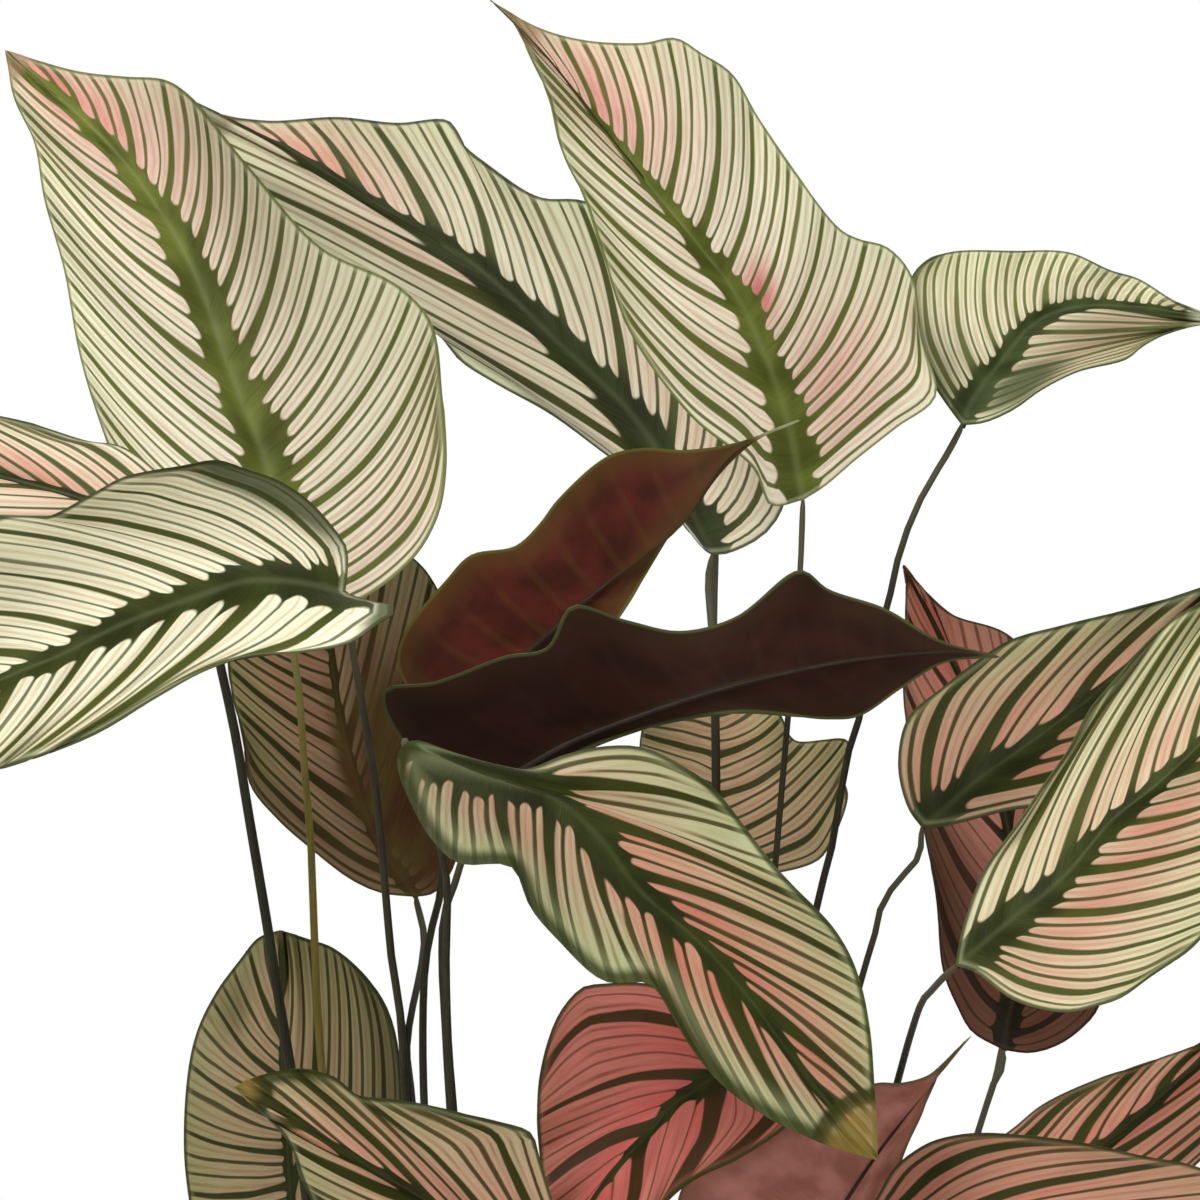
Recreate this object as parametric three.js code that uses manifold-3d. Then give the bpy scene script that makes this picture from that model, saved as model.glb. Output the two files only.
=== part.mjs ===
// A potted white star calathea: a plain nursery pot filled with soil,
// and striped leaves on long thin stalks that rise from it.
// Millimetres, +Z up, front towards -Y, origin at the middle of the pot's underside.

import * as THREE from 'three';
import { mergeVertices } from 'three/addons/utils/BufferGeometryUtils.js';
import Module from 'manifold-3d';

// Driving dimensions
const potHeight = 190;
const potTopRadius = 105;
const potFootRadius = 74;
const potWall = 2.4;
const rimHeight = 15;
const rimOverhang = 3.6;
const soilTop = 170;
const bladeThickness = 0.9;
const keelDepth = 1.3;
const waveHeight = 3;
const jointGap = 1.1;
const stalkFootDepth = 26;
const fitGap = 0.35;

// How fine the shapes are
const roundSegments = 44;
const veinLines = 12;
const veinSteps = 3;
const stalkSides = 6;
const stalkSteps = 9;
const holeSides = 8;

// The front view that the picked places belong to: a level look along +Y
const view = { distance: 2400, centreX: 15, centreZ: 641, middle: 600, mmPerPick: 0.375 };

// Surfaces
const surfaces = {
  blade: { color: 0x8a9670, roughness: 0.45 },
  limeBlade: { color: 0xa3ad74, roughness: 0.45 },
  coralBlade: { color: 0x9a5a48, roughness: 0.45 },
  maroonBlade: { color: 0x4b2f2c, roughness: 0.55 },
  stalk: { color: 0x43402f, roughness: 0.5 },
  limeStalk: { color: 0x8a7a32, roughness: 0.5 },
  pot: { color: 0x2b2c2d, roughness: 0.55 },
  soil: { color: 0x3a2c22, roughness: 0.95 },
};

// Leaves. Each place is [across, down, behind]: two picks in the front view and the
// millimetres behind the leaf's own depth. lean tips the whole blade about its base:
// millimetres behind for each millimetre across and down. rib runs from the blade's base
// to its tip. left and right are the edges between the two, as seen on the way to the tip.
// stalk runs from under the base towards the soil, and foot is where it enters it, in
// millimetres. under marks a leaf that turns its maroon side to the front, and tone one
// whose upper side isn't the plain green and cream.
const leaves = {
  upperLeft: {
    depth: -45, lean: [-0.25, -0.3], foot: [-22, -12], thick: 2.3, tone: 'lime',
    rib: [
      [292, 600, -5], [268, 475, -14], [230, 375, -18], [190, 265, -16], [120, 158, -8],
      [5, 50, 12],
    ],
    left: [
      [235, 618, 6], [150, 545, 20], [103, 430, 28], [80, 355, 28], [64, 268, 24], [45, 200, 20],
      [34, 142, 18], [14, 96, 16],
    ],
    right: [
      [345, 606, 4], [410, 562, 6], [437, 518, 2], [446, 470, 0], [442, 392, 4], [431, 322, 2],
      [397, 285, -2], [322, 248, -6], [250, 168, -6], [188, 94, 2], [165, 80, 4], [125, 77, 6],
      [80, 72, 8], [40, 61, 10],
    ],
    stalk: [
      [294, 656, 0], [299, 690, 4], [304, 762, 8], [311, 847, 12], [313, 900, 15], [322, 1070, 20],
      [360, 1350, 28],
    ],
  },
  upperBack: {
    depth: 40, lean: [-0.1, -0.14], foot: [16, 2], thick: 2.3,
    rib: [
      [713, 555, -8], [640, 425, -2], [560, 345, 0], [480, 270, 4], [380, 208, 8], [280, 145, 12],
      [190, 100, 18],
    ],
    left: [
      [702, 547, 4], [680, 520, 6], [640, 480, 10], [604, 453, 14], [552, 415, 20], [496, 384, 24],
      [459, 360, 26], [434, 329, 28], [310, 250, 28], [235, 175, 24],
    ],
    right: [
      [729, 553, -10], [766, 533, -8], [785, 502, -8], [790, 440, -4], [740, 320, 2], [590, 203, 6],
      [539, 197, 4], [487, 164, 6], [462, 143, 8], [449, 121, 10], [397, 123, 12], [338, 117, 14],
      [267, 121, 16], [214, 112, 18],
    ],
    stalk: [
      [709, 580, -4], [713, 640, -8], [716, 790, -10], [712, 1000, -14], [690, 1300, -20],
      [630, 1620, -30],
    ],
  },
  lowerLeftFront: {
    depth: -125, lean: [0.25, -0.35], foot: [-14, -26], thick: 1.9,
    rib: [
      [345, 593, 6], [300, 581, 0], [248, 580, -2], [217, 589, -4], [124, 623, -6], [62, 654, -8],
      [0, 680, -8], [-150, 760, 4],
    ],
    left: [
      [368, 601, 6], [398, 608, 2], [372, 628, -2], [347, 644, -6], [300, 652, -8], [248, 655, -10],
      [205, 670, -10], [155, 698, -8], [93, 735, -8], [0, 769, -6], [-90, 790, 0],
    ],
    right: [
      [348, 565, 8], [346, 546, 10], [335, 530, 12], [310, 502, 14], [279, 481, 14], [248, 470, 14],
      [217, 460, 12], [186, 465, 10], [124, 477, 8], [93, 493, 6], [43, 518, 6], [0, 518, 4],
      [-90, 600, 4],
    ],
    stalk: [
      [346, 598, 13], [352, 646, 19], [362, 704, 22], [376, 790, 28], [386, 898, 36],
      [392, 962, 40], [400, 1012, 44], [420, 1300, 66],
    ],
  },
  farLeft: {
    depth: -85, lean: [-0.2, -0.3], foot: [-27, 4], thick: 2.4,
    rib: [[180, 525, 4], [90, 500, 0], [0, 476, 0], [-130, 450, -8], [-300, 455, -20]],
    left: [[185, 560, 0], [110, 575, -6], [0, 572, -10], [-140, 555, -14]],
    right: [
      [175, 495, 6], [155, 470, 8], [120, 446, 10], [90, 442, 10], [37, 425, 8], [0, 416, 6],
      [-140, 395, -4],
    ],
    stalk: [
      [184, 534, 16], [205, 600, 24], [222, 673, 32], [236, 738, 40], [247, 805, 48],
      [258, 870, 54], [268, 930, 58], [279, 1000, 62], [290, 1065, 66], [340, 1400, 76],
    ],
  },
  upperRight: {
    depth: -20, lean: [0.22, 0.2], foot: [20, -12], thick: 2.0,
    rib: [
      [803, 500, 8], [785, 410, 4], [740, 302, -2], [700, 248, -6], [620, 150, -8], [545, 55, -2],
      [490, 0, 10],
    ],
    left: [
      [770, 505, 2], [755, 470, 0], [690, 415, -4], [630, 332, 0], [603, 255, 0], [585, 200, 2],
      [561, 149, 4], [549, 99, 6], [530, 56, 8], [511, 19, 10],
    ],
    right: [
      [825, 486, 6], [853, 462, 6], [896, 428, 6], [936, 396, 2], [922, 340, 8], [912, 276, 6],
      [887, 247, 6], [859, 239, 6], [840, 229, 6], [797, 174, 2], [757, 115, 4], [732, 74, 6],
      [701, 53, 4], [676, 38, 4], [642, 43, 2], [583, 40, 6], [539, 28, 8],
    ],
    stalk: [
      [800, 575, 12], [794, 650, 16], [788, 717, 20], [775, 868, 24], [755, 1100, 28],
      [715, 1400, 28],
    ],
  },
  smallRight: {
    depth: 0, lean: [0.3, -0.4], foot: [26, 4], thick: 1.8,
    rib: [
      [962, 425, 0], [972, 400, 0], [1002, 360, 0], [1033, 324, 0], [1072, 307, 2], [1130, 306, 2],
      [1225, 320, 0],
    ],
    left: [
      [952, 412, 2], [933, 384, 4], [915, 347, 6], [909, 298, 8], [912, 276, 8], [927, 260, 6],
      [952, 252, 6], [1014, 251, 4], [1070, 253, 2], [1110, 270, 2], [1138, 279, 2], [1175, 301, 0],
    ],
    right: [
      [985, 422, -6], [1014, 409, -12], [1039, 391, -16], [1076, 372, -18], [1126, 359, -14],
      [1141, 347, -12], [1169, 332, -6],
    ],
    stalk: [
      [959, 432, 2], [946, 456, 4], [927, 487, 5], [912, 518, 6], [899, 555, 7], [887, 608, 8],
      [871, 660, 12], [859, 719, 16], [849, 750, 18], [840, 798, 20], [832, 846, 22],
      [816, 910, 24], [790, 1100, 26], [740, 1400, 24],
    ],
  },
  darkUpper: {
    depth: -60, lean: [0, 0.4], foot: [-10, -6], thick: 1.9, under: true,
    rib: [
      [470, 700, 6], [530, 650, 0], [591, 596, -4], [680, 525, -4], [734, 452, 6], [800, 420, 14],
    ],
    left: [
      [420, 700, 10], [398, 665, 10], [405, 632, 8], [446, 580, 6], [471, 555, 4], [515, 546, 0],
      [539, 524, 0], [558, 499, 2], [608, 456, 4], [642, 448, 6], [685, 450, 8], [744, 441, 10],
    ],
    right: [
      [500, 730, 2], [570, 680, -4], [626, 608, -6], [661, 549, -4], [704, 487, 4], [729, 462, 8],
      [762, 436, 12],
    ],
    stalk: [
      [455, 730, 12], [446, 800, 20], [440, 895, 26], [430, 935, 28], [425, 968, 30],
      [423, 1015, 32], [424, 1100, 34], [440, 1350, 42],
    ],
  },
  darkMiddle: {
    depth: -100, lean: [0.1, 0.4], foot: [-4, -14], thick: 1.9, under: true,
    rib: [
      [500, 780, 4], [560, 745, -2], [650, 710, -6], [760, 678, -8], [850, 660, -6], [955, 652, 4],
      [1000, 657, 8],
    ],
    left: [
      [430, 765, 6], [392, 725, 6], [384, 690, 4], [434, 682, 2], [505, 656, 0], [546, 648, -4],
      [572, 606, -4], [626, 620, 0], [680, 631, 2], [735, 617, 2], [800, 570, 2], [828, 589, 4],
      [884, 608, 4], [940, 640, 6],
    ],
    right: [
      [520, 785, 2], [570, 758, -4], [617, 738, -6], [673, 722, -8], [741, 713, -8], [828, 719, -6],
      [859, 716, -4], [902, 688, 0], [945, 662, 4],
    ],
    stalk: [
      [492, 790, 8], [470, 835, 18], [456, 880, 26], [444, 915, 32], [442, 960, 38],
      [445, 1020, 42], [450, 1105, 46], [470, 1350, 66],
    ],
  },
  centreFront: {
    depth: -160, lean: [0.1, -0.15], foot: [2, -30], thick: 1.9,
    rib: [
      [406, 742, 6], [440, 757, 6], [480, 773, 6], [520, 784, 4], [557, 799, 2], [598, 835, -2],
      [640, 890, -4], [692, 934, -8], [744, 991, -8], [800, 1068, -4], [878, 1160, 4],
    ],
    left: [
      [418, 741, 8], [450, 752, 11], [488, 764, 13], [525, 770, 12], [562, 756, 9], [600, 747, 8],
      [640, 747, 6], [676, 762, 4], [713, 788, 2], [775, 866, 4], [838, 934, 2], [858, 975, 2],
      [870, 1030, 4], [875, 1095, 4],
    ],
    right: [
      [399, 752, 10], [398, 768, 12], [411, 804, 10], [432, 840, 6], [458, 863, 2], [512, 867, -2],
      [531, 908, -4], [557, 939, -4], [604, 981, -4], [650, 984, -4], [671, 1012, -4],
      [692, 1048, -4], [723, 1085, -4], [765, 1116, -2], [830, 1146, 2],
    ],
    stalk: [
      [405, 744, 22], [411, 768, 36], [424, 800, 46], [440, 845, 54], [447, 885, 61],
      [447, 920, 66], [446, 960, 70], [448, 1040, 76], [453, 1105, 82], [475, 1350, 104],
    ],
  },
  shadedLeft: {
    depth: 60, lean: [0.2, -0.22], foot: [-14, 14], thick: 1.9,
    rib: [
      [416, 897, 2], [376, 838, 2], [352, 765, 2], [336, 690, 2], [328, 600, 0], [335, 470, -5],
    ],
    left: [
      [381, 893, 4], [350, 879, 4], [306, 845, 6], [277, 819, 6], [250, 785, 6], [243, 740, 6],
      [228, 665, 6], [240, 560, 2],
    ],
    right: [
      [434, 893, 0], [454, 866, -4], [462, 790, -6], [450, 690, -4], [445, 610, -2], [427, 572, -2],
      [380, 530, -2],
    ],
    stalk: [
      [417, 904, 4], [424, 935, 0], [421, 968, -4], [413, 1005, -8], [407, 1045, -10],
      [410, 1100, -12], [430, 1300, -20], [490, 1600, -36],
    ],
  },
  shadedCentre: {
    depth: 80, lean: [-0.2, -0.2], foot: [14, 18], thick: 1.6,
    rib: [[728, 874, 2], [720, 828, 2], [716, 760, 2], [712, 700, 2], [706, 648, 0]],
    left: [[704, 872, 4], [670, 838, 6], [646, 790, 6], [640, 740, 6], [660, 690, 4]],
    right: [
      [770, 874, 0], [817, 861, -2], [830, 845, -4], [848, 796, -4], [843, 778, -4], [848, 741, -4],
      [795, 740, -2], [780, 714, -2], [745, 675, 0],
    ],
    stalk: [[732, 940, 0], [730, 1040, -6], [700, 1300, -24], [650, 1620, -46]],
  },
  lowLeftBack: {
    depth: 15, lean: [-0.3, -0.25], foot: [-28, 16], thick: 1.6,
    rib: [[300, 1290, 10], [290, 1190, 4], [282, 1060, 0], [280, 930, -3]],
    left: [
      [262, 1296, 10], [205, 1250, 8], [186, 1175, 6], [187, 1080, 4], [197, 1032, 4],
      [216, 993, 2], [240, 960, 0], [258, 938, -2],
    ],
    right: [
      [340, 1285, 8], [385, 1220, 4], [402, 1120, 0], [388, 1010, -2], [338, 951, -3],
      [305, 938, -3],
    ],
    stalk: [[306, 1330, 8], [340, 1450, 6], [420, 1640, 2]],
  },
  lowLeftFront: {
    depth: -118, lean: [0.3, -0.3], foot: [-2, -40], thick: 1.7,
    rib: [
      [560, 1290, 8], [500, 1248, 0], [420, 1197, -6], [370, 1168, -6], [325, 1136, -4],
      [234, 1087, 6],
    ],
    left: [
      [540, 1325, 4], [470, 1330, -4], [400, 1290, -6], [330, 1230, -4], [302, 1180, -2],
      [290, 1145, 0], [268, 1118, 4], [247, 1100, 6],
    ],
    right: [
      [580, 1262, 10], [556, 1210, 9], [540, 1160, 8], [531, 1133, 7], [500, 1122, 5],
      [470, 1115, 4], [430, 1106, 4], [400, 1100, 2], [355, 1094, 2], [335, 1078, 2],
      [305, 1069, 3], [270, 1073, 5], [250, 1079, 6],
    ],
    stalk: [[580, 1330, 16], [592, 1420, 30], [580, 1600, 54]],
  },
  coralCentre: {
    depth: -70, lean: [-0.2, -0.15], foot: [8, -20], thick: 1.8, tone: 'coral',
    rib: [
      [745, 1052, 10], [702, 1085, 4], [671, 1106, 0], [650, 1132, -3], [614, 1168, -5],
      [588, 1205, -5], [572, 1290, 2],
    ],
    left: [
      [780, 1062, 8], [808, 1100, 6], [786, 1127, 4], [740, 1158, 3], [687, 1184, 2],
      [655, 1215, 0], [625, 1262, 0], [595, 1298, 1],
    ],
    right: [
      [715, 1010, 10], [650, 984, 8], [600, 984, 7], [583, 987, 6], [560, 1012, 4], [543, 1058, 2],
      [537, 1110, 2], [539, 1150, 2], [547, 1215, 2], [558, 1262, 2],
    ],
    stalk: [
      [748, 1058, 24], [758, 1110, 32], [762, 1160, 34], [758, 1200, 36], [720, 1350, 44],
      [640, 1600, 50],
    ],
  },
  darkLow: {
    depth: -35, lean: [0.2, 0.35], foot: [18, -24], thick: 1.7, under: true,
    rib: [[780, 1310, 4], [830, 1225, -4], [885, 1142, -4], [945, 1068, 6], [972, 1035, 12]],
    left: [
      [740, 1300, 8], [700, 1270, 8], [678, 1220, 8], [684, 1185, 6], [740, 1150, 4],
      [800, 1110, 2], [876, 1083, 2], [900, 1083, 2], [930, 1074, 6],
    ],
    right: [
      [820, 1310, -4], [868, 1260, -8], [893, 1190, -8], [907, 1146, -4], [921, 1116, 2],
      [941, 1070, 6],
    ],
    stalk: [[772, 1325, 10], [765, 1345, 10], [735, 1430, 10], [670, 1620, 12]],
  },
  redRight: {
    depth: 40, lean: [-0.25, -0.22], foot: [38, 16], thick: 1.8, tone: 'coral',
    rib: [[1003, 1050, 0], [1018, 960, 2], [1012, 850, 4], [975, 710, 4], [903, 565, -4]],
    left: [
      [972, 1032, 2], [958, 1008, 4], [943, 970, 6], [937, 898, 8], [928, 850, 8], [905, 715, 6],
      [904, 640, 2], [906, 590, -2],
    ],
    right: [
      [1030, 1053, -2], [1056, 1046, -4], [1080, 1030, -4], [1100, 1004, -6], [1108, 900, -8],
      [1090, 780, -6], [1014, 639, -4], [952, 614, -4], [921, 586, -4],
    ],
    stalk: [
      [1003, 1066, -1], [995, 1080, -2], [985, 1110, -2], [978, 1132, -3], [940, 1250, -6],
      [830, 1500, -14],
    ],
  },
  right: {
    depth: -22, lean: [0.15, -0.28], foot: [30, -4], thick: 1.7,
    rib: [
      [922, 828, 2], [970, 786, -1], [1040, 736, -4], [1100, 690, -4], [1160, 640, -2],
      [1262, 560, 10],
    ],
    left: [
      [908, 808, 4], [898, 765, 8], [908, 718, 10], [940, 690, 10], [975, 662, 8], [1010, 640, 6],
      [1060, 626, 4], [1140, 606, 4], [1200, 588, 6],
    ],
    right: [[945, 826, 0], [1010, 810, -4], [1080, 800, -8], [1160, 760, -8], [1230, 680, -4]],
    stalk: [
      [921, 838, 4], [919, 856, 7], [897, 882, 10], [882, 904, 13], [876, 930, 14], [864, 970, 16],
      [830, 1100, 20], [770, 1350, 24],
    ],
  },
  rightFront: {
    depth: -130, lean: [-0.15, -0.28], foot: [42, -22], thick: 1.8,
    rib: [
      [956, 966, 10], [1000, 928, 2], [1060, 880, -2], [1110, 822, -4], [1160, 782, -4],
      [1215, 728, 0], [1290, 620, 16],
    ],
    left: [
      [958, 950, 10], [965, 920, 8], [984, 870, 6], [1016, 826, 2], [1040, 790, 2], [1068, 750, 4],
      [1092, 706, 4], [1120, 678, 4], [1144, 646, 4], [1184, 612, 6], [1245, 590, 12],
    ],
    right: [
      [975, 972, 8], [1008, 997, 6], [1040, 1009, 0], [1072, 1012, -4], [1096, 1006, -6],
      [1120, 998, -6], [1148, 978, -6], [1198, 942, -4], [1260, 840, 2], [1300, 730, 12],
    ],
    stalk: [
      [944, 977, 16], [932, 990, 34], [923, 1000, 46], [912, 1030, 70], [898, 1080, 96],
      [852, 1250, 120], [760, 1480, 122],
    ],
  },
  lowRightBack: {
    depth: -48, lean: [0.1, -0.35], foot: [50, -6], thick: 1.6,
    rib: [[1000, 1228, 4], [1060, 1182, 0], [1126, 1126, -2], [1200, 1062, -2], [1330, 965, 8]],
    left: [
      [985, 1190, 6], [1000, 1140, 6], [1016, 1126, 6], [1040, 1106, 4], [1080, 1086, 3],
      [1148, 1062, 2], [1198, 1044, 2], [1265, 1000, 4],
    ],
    right: [[1040, 1245, 0], [1110, 1230, -6], [1190, 1170, -8], [1280, 1070, -2]],
    stalk: [[985, 1245, 6], [940, 1310, 12], [830, 1490, 24]],
  },
  lowRightFront: {
    depth: -122, lean: [-0.1, -0.4], foot: [32, -40], thick: 1.7,
    rib: [[878, 1238, 10], [950, 1222, 0], [1050, 1222, -8], [1190, 1248, -8], [1390, 1330, 10]],
    left: [
      [870, 1215, 12], [880, 1192, 14], [896, 1166, 14], [916, 1150, 12], [936, 1140, 12],
      [972, 1133, 10], [1024, 1135, 9], [1080, 1142, 8], [1144, 1156, 8], [1200, 1168, 8],
      [1310, 1230, 8],
    ],
    right: [
      [890, 1275, 6], [950, 1315, -6], [1060, 1340, -12], [1200, 1350, -12], [1310, 1345, -2],
    ],
    stalk: [[862, 1252, 18], [820, 1300, 30], [760, 1420, 50]],
  },
  backLeft: {
    depth: 140, lean: [0, -0.15], foot: [-18, 30], thick: 1.8, under: true,
    rib: [[340, 612, 0], [300, 480, -4], [250, 350, -4], [205, 235, 0], [182, 185, 8]],
    left: [[300, 604, 4], [215, 520, 10], [160, 420, 12], [130, 320, 10], [150, 235, 10]],
    right: [[385, 585, 4], [412, 500, 8], [392, 400, 10], [330, 300, 10], [250, 212, 10]],
    stalk: [
      [352, 646, -6], [362, 704, -12], [376, 790, -18], [386, 898, -26], [392, 962, -32],
      [400, 1012, -36], [410, 1080, -40], [430, 1300, -60],
    ],
  },
  backCentre: {
    depth: 130, lean: [0.1, -0.2], foot: [4, 34], thick: 1.8, under: true,
    rib: [[716, 540, 0], [700, 450, -4], [665, 330, -4], [628, 230, 2], [612, 185, 8]],
    left: [[692, 535, 4], [645, 450, 8], [592, 350, 10], [575, 285, 10], [585, 225, 10]],
    right: [[745, 522, 4], [790, 440, 8], [800, 340, 10], [760, 240, 10], [670, 165, 10]],
    stalk: [[714, 640, -8], [716, 790, -20], [712, 1000, -36], [680, 1350, -66]],
  },
  backRight: {
    depth: 125, lean: [0.1, -0.2], foot: [22, 28], thick: 1.8, under: true,
    rib: [[1004, 1036, 0], [1030, 950, -4], [1070, 830, -4], [1110, 740, 2], [1140, 680, 8]],
    left: [[982, 1014, 4], [968, 940, 8], [1000, 840, 10], [1045, 745, 10], [1090, 690, 10]],
    right: [[1036, 1030, 4], [1086, 985, 8], [1130, 900, 10], [1165, 800, 10], [1168, 720, 10]],
    stalk: [[995, 1080, -4], [985, 1110, -6], [978, 1132, -8], [944, 1270, -32], [810, 1530, -58]],
  },
  lowBackLeft: {
    depth: 110, lean: [0.3, -0.3], foot: [-8, 40], thick: 1.6, under: true,
    rib: [[480, 1450, 0], [425, 1385, 10], [340, 1335, 14], [240, 1305, 6]],
    left: [[462, 1472, 4], [390, 1452, 0], [300, 1410, -6], [252, 1350, -4]],
    right: [[492, 1405, 6], [452, 1325, 12], [370, 1262, 14], [290, 1258, 8]],
    stalk: [[486, 1470, -10], [494, 1510, -14], [515, 1620, -30]],
  },
  lowBackRight: {
    depth: 105, lean: [-0.3, -0.3], foot: [12, 42], thick: 1.6, under: true,
    rib: [[760, 1440, 0], [822, 1372, 10], [905, 1312, 14], [1010, 1285, 6]],
    left: [[742, 1400, 6], [780, 1320, 12], [860, 1262, 14], [945, 1248, 8]],
    right: [[792, 1455, 4], [862, 1432, 0], [942, 1385, -6], [992, 1325, -4]],
    stalk: [[740, 1490, -10], [690, 1610, -28]],
  },
  lowFront: {
    depth: -104, lean: [0.2, -0.35], foot: [10, -50], thick: 1.5,
    rib: [[612, 1440, 8], [575, 1488, 0], [525, 1545, -4], [462, 1612, 2]],
    left: [[630, 1470, 8], [612, 1535, 0], [560, 1595, -6], [505, 1618, -4]],
    right: [[590, 1418, 10], [530, 1438, 8], [482, 1492, 4], [458, 1560, 4]],
    stalk: [[616, 1450, 16], [628, 1530, 24], [610, 1690, 28]],
  },
  lowRightSide: {
    depth: 10, lean: [-0.35, -0.2], foot: [40, 8], thick: 1.5,
    rib: [[800, 1480, 8], [865, 1500, 0], [935, 1545, -4], [1010, 1615, 2]],
    left: [[812, 1450, 10], [880, 1448, 8], [952, 1490, 4], [1005, 1560, 4]],
    right: [[795, 1510, 6], [845, 1555, -4], [915, 1600, -6], [970, 1622, -2]],
    stalk: [[788, 1484, 14], [750, 1540, 16], [690, 1700, 6]],
  },
  lowLeftSide: {
    depth: 30, lean: [0.4, -0.15], foot: [-38, 22], thick: 1.5,
    rib: [[350, 1482, 8], [290, 1472, 0], [210, 1492, -4], [112, 1556, 2]],
    left: [[352, 1512, 6], [300, 1548, -4], [220, 1570, -6], [150, 1582, -2]],
    right: [[342, 1450, 10], [285, 1418, 8], [205, 1425, 4], [135, 1480, 4]],
    stalk: [[362, 1488, 14], [400, 1540, 16], [450, 1700, 4]],
  },
};

// A place in the front view as a point of the plant
function place([across, down, behind], depth) {
  const y = depth + behind;
  const scale = view.mmPerPick * (view.distance + y) / view.distance;
  const x = view.centreX + (across - view.middle) * scale;
  const z = view.centreZ + (view.middle - down) * scale;
  return new THREE.Vector3(x, y, z);
}

// A place on a blade, tipped with it about its base
function bladePlace(leaf, [across, down, behind]) {
  const [baseAcross, baseDown] = leaf.rib[0];
  const [leanAcross, leanDown] = leaf.lean;
  const tipped = leanAcross * (across - baseAcross) + leanDown * (down - baseDown);
  return place([across, down, behind + tipped * view.mmPerPick], leaf.depth);
}

// A smooth line through points, read by its share of length
function smoothLine(points) {
  return new THREE.CatmullRomCurve3(points, false, 'centripetal');
}

// The rib and the two edges that a blade hangs on
function bladeLines(leaf) {
  const rib = leaf.rib.map((pick) => bladePlace(leaf, pick));
  const edge = (picks) => {
    const points = picks.map((pick) => bladePlace(leaf, pick));
    return smoothLine([rib[0], ...points, rib[rib.length - 1]]);
  };
  return { rib: smoothLine(rib), left: edge(leaf.left), right: edge(leaf.right) };
}

// The share of the edge where the vein that leaves the rib at a share ends
const firstVeinEnd = 0.2;
function veinEnd(along) {
  return Math.min(1, firstVeinEnd + (1 - firstVeinEnd) * along ** 0.72);
}

// A vein leaves the rib at a wider angle than it ends with, so it bends towards the tip
const veinBend = THREE.MathUtils.degToRad(22);
function veinPoint(rib, edge, along, out) {
  const start = rib.getPointAt(along);
  const end = edge.getPointAt(veinEnd(along));
  const reach = end.clone().sub(start);
  const forward = rib.getTangentAt(along);
  const ahead = reach.dot(forward);
  const sideways = reach.clone().addScaledVector(forward, -ahead);
  const angle = Math.atan2(sideways.length(), ahead) + veinBend;
  sideways.normalize();
  const bend = start.clone();
  bend.addScaledVector(forward, 0.45 * reach.length() * Math.cos(angle));
  bend.addScaledVector(sideways, 0.45 * reach.length() * Math.sin(angle));
  return new THREE.QuadraticBezierCurve3(start, bend, end).getPoint(out);
}

// The veins near the base follow the rounded edge of the blade
function bladePoint(rib, edge, along, out) {
  const point = veinPoint(rib, edge, along, out);
  const pull = Math.max(0, 1 - along / 0.2) ** 2;
  if (pull > 0) {
    const rounded = edge.getPointAt(firstVeinEnd * out);
    point.addScaledVector(rounded.sub(veinPoint(rib, edge, 0, out)), pull);
  }
  return point;
}

// How far a blade's edge waves out of its own plane
function edgeWave(leaf, side, along, out) {
  const turns = 2 * Math.PI * (3.4 * along + 0.31 * leaf.depth / 10 + (side < 0 ? 0.35 : 0));
  const fade = Math.sin(Math.PI * Math.min(1, along + 0.04)) ** 0.5;
  return waveHeight * out * out * fade * Math.sin(turns);
}

// A body from its points and the three-cornered faces between them
function geometryOf(points, faces) {
  const geometry = new THREE.BufferGeometry();
  const numbers = points.flatMap((point) => point.toArray());
  geometry.setAttribute('position', new THREE.Float32BufferAttribute(numbers, 3));
  geometry.setIndex(faces.flat());
  geometry.computeVertexNormals();
  return geometry;
}

// The middle sheet of a blade: rows of points along the veins, closed to one point at the tip
function bladeSheet(leaf) {
  const { rib, left, right } = bladeLines(leaf);
  const columns = 2 * veinSteps + 1;
  const points = [];
  const waves = [];
  for (let row = 0; row < veinLines; row += 1) {
    for (let column = 0; column < columns; column += 1) {
      const side = column < veinSteps ? -1 : 1;
      const out = Math.abs(column - veinSteps) / veinSteps;
      points.push(bladePoint(rib, side < 0 ? left : right, row / veinLines, out));
      waves.push(edgeWave(leaf, side, row / veinLines, out));
    }
  }
  points.push(rib.getPointAt(1));
  waves.push(0);
  const tip = points.length - 1;
  const faces = [];
  for (let row = 0; row < veinLines; row += 1) {
    for (let column = 0; column < columns - 1; column += 1) {
      const near = row * columns + column;
      const far = near + columns;
      if (row === veinLines - 1) faces.push([near, near + 1, tip]);
      else if (column < veinSteps) faces.push([near, near + 1, far], [near + 1, far + 1, far]);
      else faces.push([near, near + 1, far + 1], [near, far + 1, far]);
    }
  }
  const flat = geometryOf(points, faces).getAttribute('normal');
  points.forEach((point, index) => {
    const normal = new THREE.Vector3().fromBufferAttribute(flat, index);
    point.addScaledVector(normal, waves[index]);
  });
  return { points, faces, tip, columns };
}

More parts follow.
